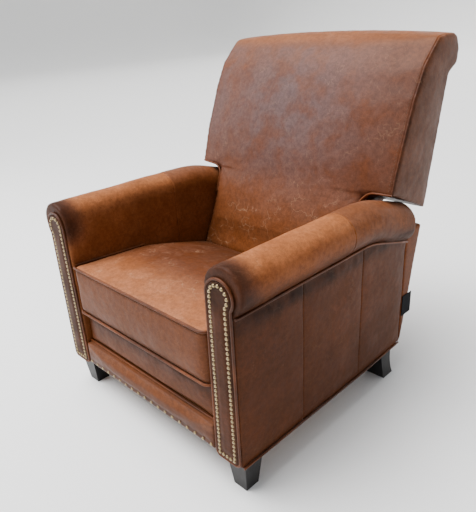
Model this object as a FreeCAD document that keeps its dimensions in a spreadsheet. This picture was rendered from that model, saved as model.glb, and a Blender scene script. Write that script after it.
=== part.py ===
"""Push-back recliner armchair: a T-backed club chair on four feet, with rolled arms, a seat that
rides forward on swing links, a back that reclines and a footrest that unfolds under the seat.

Frame: millimetres, +Z up, the front of the chair faces -Y, +X is the sitter's left.
The origin is on the floor, under the middle of the chair at rest.
"""
import FreeCAD, Part
import math
import os
import re
import Sketcher

Vector = FreeCAD.Vector
doc = FreeCAD.newDocument("recliner_armchair")

# ---------------------------------------------------------------- driving dimensions
SIZES = {
    # arms: distances from the middle of the chair in x, from the origin in y, from the floor in z
    "arm_inner": 286, "panel_width": 87, "arm_front": 452, "arm_rear": 247, "arm_bottom": 97,
    "roll_radius": 57, "roll_height": 551.5, "roll_level_end": 20, "roll_bend": 300,
    "roll_droop": 16, "arm_wall": 18, "arm_cavity_drop": 81.5, "timber": 40,
    # arm fronts
    "facing_thickness": 7, "facing_width": 70.7, "bulb_radius": 36, "bulb_side": 42.7,
    "bulb_drop": 10.5, "welt_radius": 3.5, "piping_radius": 3, "nail_radius": 4.6,
    "nail_height": 3, "nail_inset": 10, "nail_pitch": 12, "nail_shank": 0.9, "nail_point": 1,
    "piping_gap": 0.2, "piping_drop": 1,
    # feet and floor frame
    "foot_inset": 49, "front_foot_inset": 44, "foot_base": 42, "foot_top": 62,
    "rear_foot_inset": 64, "rear_foot_width": 67, "rear_foot_depth": 54, "rear_foot_rake": 23,
    "rear_foot_waist": 4, "rear_foot_sweep": 0.3,
    "bolt_radius": 4, "bolt_in_foot": 50, "bolt_in_frame": 36, "bolt_clearance": 0.2,
    "rail_back": 22, "rail_step": 51, "front_rail_height": 50, "rail_bottom": 100,
    "side_rail_height": 65, "side_rail_width": 23.5, "rear_rail_inset": 25, "rear_rail_height": 22,
    # rear shell, raked like the outside of the back
    "shell_base": 10.1, "rake": 11.5, "shell_wall": 18, "shell_drop": 77.5,
    "tab_height": 68, "tab_low": 195, "tab_length": 50, "tab_thickness": 2, "tab_inset": 4,
    # linkage: pivots, bars and the planes they lie in
    "plate": 3, "plate_gap": 1, "plate_setback": 3, "rail_inset": 35.5, "pin_radius": 5,
    "pin_play": 0.05, "pin_proud": 0.5, "pin_short": 0.2,
    "open_play": 2.2, "bar_width": 22, "seat_rail_z": 242.3, "pivot_step": 19,
    "rear_pivot_y": 75, "swing_length": 110, "swing_lean": 18.5, "tube_radius": 9,
    "hinge_y": 195, "rail_half": 12, "recline_step": 10.3, "recline_drop": 13, "recline_reach": 28,
    "toe_inset": 57, "toe_z": 262, "toe_lip": 2, "toe_link": 150, "board_pivot_back": 8, "toe_bar": 18,
    "guide_step": 19, "guide_rise": 6, "guide_back": 10, "guide_drop": 3.4, "toe_pin": 4,
    # footrest board
    "board_gap": 3, "ply_step": 18, "ply": 12, "pad_thickness": 12, "band_thickness": 32,
    "board_bottom": 105, "band_top": 176, "board_top": 279, "board_nail_pitch": 30,
    # seat
    "cushion_gap": 4, "seat_back": 45, "seat_front_top": 433, "seat_break_y": 203,
    "seat_break_top": 418, "seat_back_top": 352, "seat_front_bottom": 290,
    "seat_back_bottom": 262, "seat_corner": 22, "wire_radius": 1.9, "wire_bend": 14,
    "wire_width": 26, "crossbar_depth": 25, "crossbar_height": 28, "crossbar_step": 57,
    "rear_crossbar_y": 22, "spring_count": 5, "spring_share": 0.19, "rest_gap": 0.3,
    # back: distances behind the origin, and heights above the front corner of the wings
    "wing_reach": 89, "stem_gap": 5, "stem_bottom": 262, "stem_foot": 50, "lumbar_y": 47,
    "lumbar_z": 346, "wing_y": 149, "wing_lift": 51.5, "chest_y": 183, "chest_rise": 111,
    "shoulder_y": 233, "shoulder_rise": 238, "neck_y": 288, "neck_rise": 323, "crest_y": 348,
    "crest_rise": 397, "head_y": 440, "head_rise": 400, "head_rear": 463, "head_low_rise": 312,
    "pinch_rise": 290, "wing_rear_drop": 81, "outback": 5, "outback_inset": 13, "head_round": 34,
    "post_foot": 187, "post_foot_deep": 38, "post_mid_y": 200, "post_mid_drop": 103,
    "post_mid_deep": 32, "post_wing_y": 225, "post_wing_rise": 17, "post_wing_deep": 40,
    "post_high_y": 300, "post_high_rise": 227, "post_high_deep": 45, "post_top_y": 345,
    "post_top_rise": 302, "post_top_deep": 40, "post_width": 22, "pad_gap": 3, "stem_wall": 8,
    "strap": 2, "strap_width": 50, "strap_first": 0.08, "strap_pitch": 0.32, "post_gap": 0.5,
    "back_rail_depth": 22, "back_rail_setback": 3, "low_rail_lift": 6, "low_rail_height": 46,
    "middle_rail_height": 40, "top_rail_height": 50, "bracket_rise": 110, "bracket_set": 7,
    "seam_back": 30, "stem_tuck": 10, "stem_flare": 30, "head_slope": 6, "outback_low": 6,
    "outback_high": 8, "panel_gap": 0.1, "wing_piping_start": 8, "piping_tuck": 2.2,
    # how far a cutting tool runs past the face it opens, and past a whole piece
    "overrun": 1, "overcut": 20,
}

# Places that follow another size: each is a first size plus or minus a second.
SUMS = {
    "panel_outer": ("arm_inner", "+", "panel_width"), "roll_x": ("arm_inner", "+", "roll_radius"),
    "foot_side": ("arm_inner", "+", "foot_inset"), "rail_plane": ("arm_inner", "-", "rail_inset"),
    "cushion_half": ("arm_inner", "-", "cushion_gap"), "board_half": ("arm_inner", "-", "board_gap"),
    "stem_half": ("arm_inner", "-", "stem_gap"), "back_half": ("arm_inner", "+", "wing_reach"),
    "outback_half": ("back_half", "-", "outback_inset"),
    "seat_front": ("arm_front", "+", "facing_thickness"), "toe_y": ("arm_front", "-", "toe_inset"),
    "guide_y": ("toe_y", "-", "guide_step"), "guide_z": ("toe_z", "+", "guide_rise"),
    "ply_back": ("toe_y", "+", "ply_step"), "front_rail_y": ("toe_y", "-", "rail_step"),
    "front_pivot_y": ("front_rail_y", "-", "pivot_step"),
    "front_crossbar_y": ("toe_y", "-", "crossbar_step"),
    "front_foot_y": ("arm_front", "-", "front_foot_inset"),
    "rear_foot_y": ("arm_rear", "-", "rear_foot_inset"), "rear_rail_y": ("arm_rear", "-", "rear_rail_inset"),
    "recline_y": ("hinge_y", "+", "recline_step"), "rake_foot": ("arm_rear", "+", "shell_base"),
    "bulb_height": ("roll_height", "-", "bulb_drop"), "shell_top": ("roll_height", "-", "shell_drop"),
    "arm_cavity_top": ("roll_height", "-", "arm_cavity_drop"), "wing_z": ("roll_height", "+", "wing_lift"),
    "chest_z": ("wing_z", "+", "chest_rise"), "shoulder_z": ("wing_z", "+", "shoulder_rise"),
    "neck_z": ("wing_z", "+", "neck_rise"), "crest_z": ("wing_z", "+", "crest_rise"),
    "head_z": ("wing_z", "+", "head_rise"), "head_low": ("wing_z", "+", "head_low_rise"),
    "pinch_z": ("wing_z", "+", "pinch_rise"), "wing_rear_z": ("wing_z", "-", "wing_rear_drop"),
    "post_mid_z": ("wing_z", "-", "post_mid_drop"), "post_wing_z": ("wing_z", "+", "post_wing_rise"),
    "post_high_z": ("wing_z", "+", "post_high_rise"), "post_top_z": ("wing_z", "+", "post_top_rise"),
}

sheet = doc.addObject("Spreadsheet::Sheet", "Sizes")
for row, (word, number) in enumerate(SIZES.items(), start=1):
    sheet.set(f"A{row}", word)
    sheet.set(f"B{row}", str(number))
    sheet.setAlias(f"B{row}", word)
doc.recompute()

nodes = {}


def size(word):
    """The number behind a word, for shapes that are worked out in code."""
    if word in SUMS:
        first, sign, second = SUMS[word]
        return size(first) + (size(second) if sign == "+" else -size(second))
    return float(sheet.get(word))


def cell(match):
    """A word of an expression: a sum's words in brackets, a size's cell, or the word itself."""
    word = match[0]
    if word in SUMS:
        return "(" + bound(" ".join(SUMS[word])) + ")"
    return "Sizes." + word if word in SIZES else word


def bound(text):
    """An expression whose known words are bound to the sheet."""
    return re.sub(r"[a-z_]+", cell, str(text))


def keep(label, thing):
    """Register a finished sub-part under its node name."""
    thing.Label = label
    nodes[label] = thing
    return thing


# ---------------------------------------------------------------- ways of making a piece
def prism(name, plane, corners, start, length, holes=()):
    """A body padded from a closed outline; corners and holes are expressions in the plane."""
    body = doc.addObject("PartDesign::Body", name)
    origin_plane = [o for o in body.Origin.OriginFeatures if o.Role == plane][0]
    sketch = body.newObject("Sketcher::SketchObject", name + "_outline")
    sketch.AttachmentSupport = (origin_plane, [""])
    sketch.MapMode = "FlatFace"
    sketch.setExpression("AttachmentOffset.Base.z", bound(start))
    count = len(corners)
    ring = [Vector(math.cos(i * math.tau / count), math.sin(i * math.tau / count), 0) for i in range(count)]
    for i in range(count):
        sketch.addGeometry(Part.LineSegment(ring[i], ring[(i + 1) % count]))
    for i in range(count):
        sketch.addConstraint(Sketcher.Constraint("Coincident", i, 2, (i + 1) % count, 1))
    for i, (across, up) in enumerate(corners):
        place_point(sketch, i, 1, across, up)
    for across, up, radius in holes:
        hole = sketch.addGeometry(Part.Circle(Vector(0, 0, 0), Vector(0, 0, 1), 1))
        place_point(sketch, hole, 3, across, up)
        set_by(sketch, sketch.addConstraint(Sketcher.Constraint("Radius", hole, 1.0)), radius)
    pad = body.newObject("PartDesign::Pad", name + "_pad")
    pad.Profile = sketch
    pad.setExpression("Length", bound(length))
    doc.recompute()
    return body


def set_by(sketch, index, text):
    """Bind one sketch constraint to the sheet."""
    sketch.setExpression(f"Constraints[{index}]", bound(text))


def place_point(sketch, geometry, point, across, up, start=(1.0, 1.0)):
    """Hold a sketch point at a bound distance from the sketch's origin; start is where it is drawn."""
    for kind, text, drawn in (("DistanceX", across, start[0]), ("DistanceY", up, start[1])):
        set_by(sketch, sketch.addConstraint(Sketcher.Constraint(kind, -1, 1, geometry, point, drawn)), text)


def side_prism(name, corners, low, high, holes=()):
    """A prism across the chair, from x = low to x = high; corners are (y, z)."""
    return prism(name, "YZ_Plane", corners, low, f"({high}) - ({low})", holes)


def edges_at(body, plane_axes, across, up, tolerance=0.01):
    """Names of the straight edges of a padded body that run along its pad at one outline corner."""
    first, second = plane_axes
    found = []
    for index, edge in enumerate(body.Shape.Edges, start=1):
        ends = [v.Point for v in edge.Vertexes]
        if all(abs(p[first] - across) < tolerance and abs(p[second] - up) < tolerance for p in ends):
            found.append(f"Edge{index}")
    return found


def dress(body, kind, edges, text):
    """Fillet or chamfer the named edges of a body's tip by a bound size."""
    base = body.Tip
    feature = body.newObject("PartDesign::" + kind, f"{body.Name}_{kind.lower()}")
    feature.Base = (base, edges)
    feature.setExpression("Radius" if kind == "Fillet" else "Size", bound(text))
    body.Tip = feature
    doc.recompute()


def block(name, x, y, z):
    """A Part box between two bound distances on each axis."""
    box = doc.addObject("Part::Box", name)
    for edge, axis, (low, high) in zip(("Length", "Width", "Height"), "xyz", (x, y, z)):
        box.setExpression(edge, bound(f"({high}) - ({low})"))
        box.setExpression(f"Placement.Base.{axis}", bound(low))
    return box


def rod(name, x, y, z, radius, low=None):
    """A Part cylinder along x from low to x (or from -x to x), on the axis (y, z)."""
    start = f"-({x})" if low is None else low
    cylinder = doc.addObject("Part::Cylinder", name)
    cylinder.setExpression("Radius", bound(radius))
    cylinder.setExpression("Height", bound(f"({x}) - ({start})"))
    cylinder.Placement = FreeCAD.Placement(Vector(0, 0, 0), FreeCAD.Rotation(Vector(0, 1, 0), 90))
    for axis, text in zip("xyz", (start, y, z)):
        cylinder.setExpression(f"Placement.Base.{axis}", bound(text))
    return cylinder


def fuse(name, pieces):
    """One solid from several."""
    whole = doc.addObject("Part::MultiFuse", name)
    whole.Shapes = pieces
    whole.Refine = True
    return whole


def cut(name, base, tool):
    """The base with the tool taken away."""
    rest = doc.addObject("Part::Cut", name)
    rest.Base = base
    rest.Tool = tool
    rest.Refine = True
    return rest


def group(name, pieces):
    """Several separate solids in one node."""
    whole = doc.addObject("Part::Compound", name)
    whole.Links = pieces
    return whole


def mirror(name, piece):
    """The same piece on the other side of the chair."""
    other = doc.addObject("Part::Mirroring", name)
    other.Source = piece
    other.Normal = Vector(1, 0, 0)
    return other


def both_sides(stem, piece):
    """Keep a left piece and its right-hand twin as two nodes."""
    keep(stem + "_left", piece)
    keep(stem + "_right", mirror(stem + "_right", piece))


def pair(label, pieces):
    """Keep left pieces and their right-hand twins together in one node."""
    twins = [mirror(f"{label}_twin_{i}", piece) for i, piece in enumerate(pieces)]
    return keep(label, group(label, pieces + twins))


def shaped(label, shape):
    """A node whose shape is worked out with Part's own functions."""
    feature = doc.addObject("Part::Feature", label)
    feature.Shape = shape
    return keep(label, feature)


def bar(name, plane, start, finish, width, holes):
    """A flat link between two pivots: a strip with round ends, holes in a bound plane."""
    (y_a, z_a), (y_b, z_b) = start, finish
    run = f"sqrt((({y_b}) - ({y_a}))^2 + (({z_b}) - ({z_a}))^2)"
    strip = doc.addObject("Part::Box", name + "_strip")
    strip.setExpression("Length", bound("plate"))
    strip.setExpression("Width", bound(run))
    strip.setExpression("Height", bound(width))
    turn = f"atan2(({z_b}) - ({z_a}); ({y_b}) - ({y_a}))"
    strip.Placement = FreeCAD.Placement(Vector(0, 0, 0), FreeCAD.Rotation(Vector(1, 0, 0), 0))
    strip.setExpression("Placement.Rotation.Angle", bound(turn))
    strip.setExpression("Placement.Base.x", bound(plane))
    strip.setExpression("Placement.Base.y", bound(f"{y_a} + ({width}) / 2 * sin({turn})"))
    strip.setExpression("Placement.Base.z", bound(f"{z_a} - ({width}) / 2 * cos({turn})"))
    ends = [rod(f"{name}_end_{i}", f"{plane} + plate", y, z, f"({width}) / 2", plane)
            for i, (y, z) in enumerate((start, finish))]
    bores = [rod(f"{name}_bore_{i}", f"{plane} + plate + overrun", y, z, radius, f"{plane} - overrun")
             for i, (y, z, radius) in enumerate(holes)]
    return cut(name, fuse(name + "_blank", [strip] + ends), group(name + "_bores", bores))


def pipe(points, radius, bends=()):
    """A round piping along straight runs; bends gives each inner corner's radius."""
    edges = []
    start = points[0]
    for i in range(1, len(points) - 1):
        back = (points[i - 1] - points[i]).normalize()
        ahead = (points[i + 1] - points[i]).normalize()
        half = back.getAngle(ahead) / 2
        reach = bends[i - 1] / math.tan(half)
        middle = (back + ahead).normalize()
        enter = points[i] + back * reach
        leave = points[i] + ahead * reach
        crown = points[i] + middle * (bends[i - 1] / math.sin(half) - bends[i - 1])
        edges += [Part.LineSegment(start, enter).toShape(), Part.Arc(enter, crown, leave).toShape()]
        start = leave
    edges.append(Part.LineSegment(start, points[-1]).toShape())
    path = Part.Wire(edges)
    ring = Part.Wire([Part.Circle(points[0], points[1] - points[0], radius).toShape()])
    return path.makePipeShell([ring], True, False)


# ---------------------------------------------------------------- places used by several pieces
BEND_END_Y = "(roll_level_end + roll_bend * sin(roll_droop))"
BEND_END_Z = "(roll_height - roll_bend * (1 - cos(roll_droop)))"
SEAT_RAIL_Z = "seat_rail_z"
BASE_PIVOT_Z = "(seat_rail_z - swing_length * cos(swing_lean))"
RECLINE_Z = f"({BASE_PIVOT_Z} - recline_drop)"
SWING_STEP = "(swing_length * sin(swing_lean))"
LAYER = "(plate + plate_gap)"
OUTER_LINK = f"(rail_plane + {LAYER})"
BASE_PLATE = f"(rail_plane + 2 * {LAYER})"
FIRST_LINK = f"(rail_plane - {LAYER})"
SECOND_LINK = f"(rail_plane - 2 * {LAYER})"
GUIDE_LINK = f"(rail_plane - 3 * {LAYER})"
BRACKET = f"(rail_plane - 4 * {LAYER})"
PIN_HOLE = "pin_radius + pin_play"
TOE_HOLE = "toe_pin + pin_play"


def rake_y(height, inset="0"):
    """The raked rear plane at a height, moved forward by inset."""
    return f"(rake_foot + ({height} - arm_bottom) * tan(rake) - ({inset}))"


# ---------------------------------------------------------------- arms
# Each arm is a foam and leather cover over a timber frame: a flat panel, and over it a roll that
# runs level, bends down and droops to the rear.
panel = side_prism("arm_panel", [
    ("-arm_front", "arm_bottom"), ("arm_rear", "arm_bottom"),
    ("arm_rear", f"{BEND_END_Z} - (arm_rear - {BEND_END_Y}) * tan(roll_droop)"),
    (BEND_END_Y, BEND_END_Z), ("roll_level_end", "roll_height"), ("-arm_front", "roll_height"),
], "arm_inner", "panel_outer")
level = doc.addObject("Part::Cylinder", "roll_level")
level.setExpression("Radius", bound("roll_radius"))
level.setExpression("Height", bound("arm_front + roll_level_end"))
level.Placement = FreeCAD.Placement(Vector(0, 0, 0), FreeCAD.Rotation(Vector(1, 0, 0), -90))
level.setExpression("Placement.Base.x", bound("roll_x"))
level.setExpression("Placement.Base.y", bound("-arm_front"))
level.setExpression("Placement.Base.z", bound("roll_height"))
bend = doc.addObject("Part::Torus", "roll_bend_piece")
bend.setExpression("Radius1", bound("roll_bend"))
bend.setExpression("Radius2", bound("roll_radius"))
bend.setExpression("Angle3", bound("roll_droop"))
bend.Placement = FreeCAD.Placement(Vector(0, 0, 0), FreeCAD.Rotation(Vector(0, 1, 0), -90))
bend.setExpression("Placement.Base.x", bound("roll_x"))
bend.setExpression("Placement.Base.y", bound("roll_level_end"))
bend.setExpression("Placement.Base.z", bound("roll_height - roll_bend"))
tail = doc.addObject("Part::Cylinder", "roll_tail")
tail.setExpression("Radius", bound("roll_radius"))
tail.setExpression("Height", bound(f"(arm_rear - {BEND_END_Y}) / cos(roll_droop) + roll_radius"))
tail.Placement = FreeCAD.Placement(Vector(0, 0, 0), FreeCAD.Rotation(Vector(1, 0, 0), -90))
tail.setExpression("Placement.Rotation.Angle", bound("-90 - roll_droop"))
tail.setExpression("Placement.Base.x", bound("roll_x"))
tail.setExpression("Placement.Base.y", bound(BEND_END_Y))
tail.setExpression("Placement.Base.z", bound(BEND_END_Z))
arm_blank = fuse("arm_blank", [panel, level, bend, tail])
arm_trim = block("arm_trim", ("arm_inner - roll_radius", "panel_outer + 2 * roll_radius"),
                 ("arm_rear", "arm_rear + 4 * roll_radius"), ("arm_bottom", "roll_height + roll_radius"))
frame_x = ("arm_inner + arm_wall", "panel_outer - arm_wall")
arm_cavity = block("arm_cavity", frame_x, ("-arm_front + arm_wall", "arm_rear - arm_wall"),
                   ("arm_bottom - arm_wall", "arm_cavity_top"))
both_sides("arm", cut("arm_left", arm_blank, group("arm_removed", [arm_trim, arm_cavity])))

# Timber frame in the cavity: two posts between a bottom and a top rail.
PLAY = "rest_gap"
member_x = (f"{frame_x[0]} + {PLAY}", f"{frame_x[1]} - {PLAY}")
member_front, member_rear = f"(-arm_front + arm_wall + {PLAY})", f"(arm_rear - arm_wall - {PLAY})"
member_top = f"(arm_cavity_top - {PLAY})"
bolt_bore = "bolt_radius + bolt_clearance"
bottom_rail = block("arm_bottom_rail", member_x, (member_front, member_rear),
                    ("arm_bottom", "arm_bottom + timber"))
top_rail = block("arm_top_rail", member_x, (member_front, member_rear),
                 (f"{member_top} - timber", member_top))
posts = [block(f"arm_post_{i}", member_x, along, ("arm_bottom + timber", f"{member_top} - timber"))
         for i, along in enumerate(((member_front, f"{member_front} + timber"),
                                    (f"{member_rear} - timber", member_rear)))]


def upright(name, x, y, low, high, radius):
    """A vertical Part cylinder."""
    cylinder = doc.addObject("Part::Cylinder", name)
    cylinder.setExpression("Radius", bound(radius))
    cylinder.setExpression("Height", bound(f"({high}) - ({low})"))
    for axis, text in zip("xyz", (x, y, low)):
        cylinder.setExpression(f"Placement.Base.{axis}", bound(text))
    return cylinder


foot_places = {"front": "-front_foot_y", "rear": "rear_foot_y"}
rail_bores = [upright(f"rail_bore_{end}", "foot_side", y, "arm_bottom - overrun",
                      "arm_bottom + bolt_in_frame + overrun", bolt_bore) for end, y in foot_places.items()]
both_sides("arm_frame", group("arm_frame_left", [
    cut("arm_bottom_rail_bored", bottom_rail, group("rail_bores", rail_bores)), top_rail] + posts))

# Facing: the keyhole-shaped padded board that closes the front of the arm.
facing = doc.addObject("PartDesign::Body", "arm_facing_left")
facing_plane = [o for o in facing.Origin.OriginFeatures if o.Role == "XZ_Plane"][0]
outline = facing.newObject("Sketcher::SketchObject", "facing_outline")
outline.AttachmentSupport = (facing_plane, [""])
outline.MapMode = "FlatFace"
outline.setExpression("AttachmentOffset.Base.z", bound("arm_front"))
left = size("arm_inner") + 2 * size("welt_radius") + size("rest_gap")
width_f, low_z = size("facing_width"), size("arm_bottom") + 2 * size("welt_radius")
bulb = Vector(left + size("bulb_side"), size("bulb_height"), 0)
radius_f = size("bulb_radius")
neck_z = bulb.y - math.sqrt(radius_f ** 2 - (width_f - size("bulb_side")) ** 2)
neck_angle = math.atan2(neck_z - bulb.y, left + width_f - bulb.x)
ends_f = [Vector(left, low_z, 0), Vector(left + width_f, low_z, 0), Vector(left + width_f, neck_z, 0),
          Vector(bulb.x - radius_f, bulb.y, 0)]
for i in range(2):
    outline.addGeometry(Part.LineSegment(ends_f[i], ends_f[i + 1]))
outline.addGeometry(Part.ArcOfCircle(Part.Circle(bulb, Vector(0, 0, 1), radius_f), neck_angle, math.pi))
outline.addGeometry(Part.LineSegment(ends_f[3], ends_f[0]))
for first, end, second, begin in ((0, 2, 1, 1), (1, 2, 2, 1), (3, 2, 0, 1)):
    outline.addConstraint(Sketcher.Constraint("Coincident", first, end, second, begin))
outline.addConstraint(Sketcher.Constraint("Tangent", 2, 2, 3, 1))
FACING_EDGE = "(arm_inner + 2 * welt_radius + rest_gap)"
place_point(outline, 0, 1, FACING_EDGE, "arm_bottom + 2 * welt_radius", (left, low_z))
place_point(outline, 0, 2, f"{FACING_EDGE} + facing_width", "arm_bottom + 2 * welt_radius",
            (left + width_f, low_z))
outline.addConstraint(Sketcher.Constraint("Vertical", 1))
place_point(outline, 2, 3, f"{FACING_EDGE} + bulb_side", "bulb_height", (bulb.x, bulb.y))
set_by(outline, outline.addConstraint(Sketcher.Constraint("Radius", 2, radius_f)), "bulb_radius")
facing_pad = facing.newObject("PartDesign::Pad", "facing_pad")
facing_pad.Profile = outline
facing_pad.setExpression("Length", bound("facing_thickness"))
doc.recompute()
corner_edges = []
for corner in ends_f[:3]:
    corner_edges += edges_at(facing, (0, 2), corner.x, corner.y, 0.5)
dress(facing, "Fillet", corner_edges, "3 * welt_radius")
both_sides("arm_facing", facing)

# The welt round the facing and the nails inside it follow the facing's own outline.
front_y = -(size("arm_front") + size("facing_thickness"))
face = [f for f in facing.Shape.Faces if abs(f.CenterOfMass.y - front_y) < 0.01][0]
rim = face.OuterWire


def ring_pipe(wire, offset, y, radius):
    """Piping that follows a closed outline at a distance outside it."""
    path = wire.makeOffset2D(offset)
    path.translate(Vector(0, y - front_y, 0))
    edge = max(path.Edges, key=lambda e: e.Length)
    start = edge.valueAt((edge.FirstParameter + edge.LastParameter) / 2)
    along = edge.tangentAt((edge.FirstParameter + edge.LastParameter) / 2)
    ordered = Part.Wire(split_at(path, edge, start))
    section = Part.Wire([Part.Circle(start, along, radius).toShape()])
    return ordered.makePipeShell([section], True, False)


def split_at(path, edge, point):
    """The edges of a closed path, beginning at a point inside one straight edge."""
    edges = path.OrderedEdges
    index = [i for i, e in enumerate(edges) if e.isSame(edge)][0]
    before = edges[index - 1]
    ends = [v.Point for v in edge.Vertexes]
    touching = min(ends, key=lambda p: min(p.distanceToPoint(v.Point) for v in before.Vertexes))
    other = ends[1] if touching is ends[0] else ends[0]
    rest = edges[index + 1:] + edges[:index]
    return [Part.LineSegment(point, other).toShape()] + rest + [Part.LineSegment(touching, point).toShape()]


welt = size("welt_radius")
both_sides("facing_welt", shaped("facing_welt_left", ring_pipe(rim, welt, -size("arm_front") - welt, welt)))


def nail(place, out):
    """A domed nail head on a surface, with its shank."""
    radius, height = size("nail_radius"), size("nail_height")
    ball = (radius ** 2 + height ** 2) / (2 * height)
    dome = Part.makeSphere(ball, place - out * (ball - height), out,
                           math.degrees(math.asin((ball - height) / ball)), 90, 360)
    shank = Part.makeCylinder(size("nail_shank"), size("facing_thickness") - size("nail_point"), place, -out)
    return dome.fuse(shank).removeSplitter()


def nails_along(wire, pitch, out):
    """Nails at an even pitch round a closed wire."""
    count = round(wire.Length / pitch)
    return Part.Compound([nail(p, out) for p in wire.discretize(count + 1)[:-1]])


TO_FRONT = Vector(0, -1, 0)
nail_line = rim.makeOffset2D(-size("nail_inset"))
both_sides("facing_nails", shaped("facing_nails_left", nails_along(nail_line, size("nail_pitch"), TO_FRONT)))

# Piping under the roll, and along the bottom of the outer panel.
piping = size("piping_radius")
panel_outer, roll_x = size("panel_outer"), size("roll_x")
nip_z = size("roll_height") - math.sqrt(size("roll_radius") ** 2 - (panel_outer - roll_x) ** 2)
piping_x = panel_outer + piping + size("piping_gap")
piping_z = nip_z - piping - size("piping_drop")
droop = math.radians(size("roll_droop"))
turn_radius = size("roll_bend") - (size("roll_height") - piping_z)
corner_y = size("roll_level_end") + turn_radius * math.tan(droop / 2)
rear_y = size("arm_rear")
under_roll = pipe([Vector(piping_x, -size("arm_front"), piping_z), Vector(piping_x, corner_y, piping_z),
                   Vector(piping_x, rear_y, piping_z - (rear_y - corner_y) * math.tan(droop))],
                  piping, [turn_radius])
hem_z = size("arm_bottom") + piping + size("piping_drop")
hem = pipe([Vector(piping_x, -size("arm_front"), hem_z), Vector(piping_x, rear_y, hem_z)], piping)
both_sides("arm_piping", shaped("arm_piping_left", Part.Compound([under_roll, hem])))

# ---------------------------------------------------------------- feet
foot_bore = {end: upright(f"foot_bore_{end}", "foot_side", y, "arm_bottom - bolt_in_foot - overrun",
                          "arm_bottom + overrun", bolt_bore) for end, y in foot_places.items()}


def tapered(name, levels):
    """A body lofted through level rectangles; each level is (x low, x high, y low, y high, z)."""
    body = doc.addObject("PartDesign::Body", name)
    ground = [o for o in body.Origin.OriginFeatures if o.Role == "XY_Plane"][0]
    sketches = []
    for level_number, (x_low, x_high, y_low, y_high, z) in enumerate(levels):
        sketch = body.newObject("Sketcher::SketchObject", f"{name}_level_{level_number}")
        sketch.AttachmentSupport = (ground, [""])
        sketch.MapMode = "FlatFace"
        sketch.setExpression("AttachmentOffset.Base.z", bound(z))
        square = [Vector(0, 0, 0), Vector(1, 0, 0), Vector(1, 1, 0), Vector(0, 1, 0)]
        for i in range(4):
            sketch.addGeometry(Part.LineSegment(square[i], square[(i + 1) % 4]))
        for i in range(4):
            sketch.addConstraint(Sketcher.Constraint("Coincident", i, 2, (i + 1) % 4, 1))
        for i, corner in enumerate(((x_low, y_low), (x_high, y_low), (x_high, y_high), (x_low, y_high))):
            place_point(sketch, i, 1, *corner)
        sketches.append(sketch)
    loft = body.newObject("PartDesign::AdditiveLoft", name + "_loft")
    loft.Profile = sketches[0]
    loft.Sections = sketches[1:]
    doc.recompute()
    return body


def centred(middle, width):
    """Low and high bounds about a middle."""
    return f"{middle} - ({width}) / 2", f"{middle} + ({width}) / 2"


front_blank = tapered("front_foot_blank", [
    (*centred("foot_side", width), *centred("-front_foot_y", width), z)
    for width, z in (("foot_base", "0"), ("foot_top", "arm_bottom"))])
rear_blank = tapered("rear_foot_blank", [
    (*centred("foot_side", "rear_foot_width"), *centred(f"rear_foot_y + rear_foot_rake * {share}", depth), z)
    for share, depth, z in (("1", "rear_foot_depth - rear_foot_waist", "0"),
                            ("rear_foot_sweep", "rear_foot_depth - 2 * rear_foot_waist", "arm_bottom / 2"),
                            ("0", "rear_foot_depth", "arm_bottom"))])
both_sides("front_foot", cut("front_foot_left", front_blank, foot_bore["front"]))
both_sides("rear_foot", cut("rear_foot_left", rear_blank, foot_bore["rear"]))
pair("foot_bolts", [upright(f"foot_bolt_{end}", "foot_side", y, "arm_bottom - bolt_in_foot",
                            "arm_bottom + bolt_in_frame", "bolt_radius") for end, y in foot_places.items()])

# ---------------------------------------------------------------- floor frame between the arms
between = ("-arm_inner + rest_gap", "arm_inner - rest_gap")
side_rail_x = ("arm_inner - rest_gap - side_rail_width", "arm_inner - rest_gap")
keep("front_rail", block("front_rail", between, ("-front_rail_y - rail_back", "-front_rail_y"),
                         ("rail_bottom", "rail_bottom + front_rail_height")))
keep("rear_rail", block("rear_rail", between, ("rear_rail_y", "arm_rear - rest_gap"),
                        ("rail_bottom", "rail_bottom + rear_rail_height")))
both_sides("side_rail", block("side_rail_left", side_rail_x, ("-front_rail_y", "rear_rail_y"),
                              ("rail_bottom", "rail_bottom + side_rail_height")))

# Steel plate on each side rail, with the three fixed pivots of the mechanism.
base_pivots = [("-front_pivot_y", BASE_PIVOT_Z), ("rear_pivot_y", BASE_PIVOT_Z), ("recline_y", RECLINE_Z)]
plate_low, plate_high = f"{RECLINE_Z} - pin_radius - plate", f"{BASE_PIVOT_Z} + bar_width"
pair("base_plates", [side_prism("base_plate", [
    ("-front_rail_y + plate_setback", plate_low), ("recline_y + bar_width / 2", plate_low),
    ("recline_y + bar_width / 2", plate_high), ("-front_rail_y + plate_setback", plate_high),
], BASE_PLATE, side_rail_x[0],
    [(y, z, "pin_radius") for y, z in base_pivots])])
pair("base_pins", [rod(f"base_pin_{i}", side_rail_x[0], y, z, "pin_radius", f"{link} - pin_proud")
                   for i, ((y, z), link) in enumerate(zip(base_pivots, 2 * (OUTER_LINK,) + ("rail_plane",)))])

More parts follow.
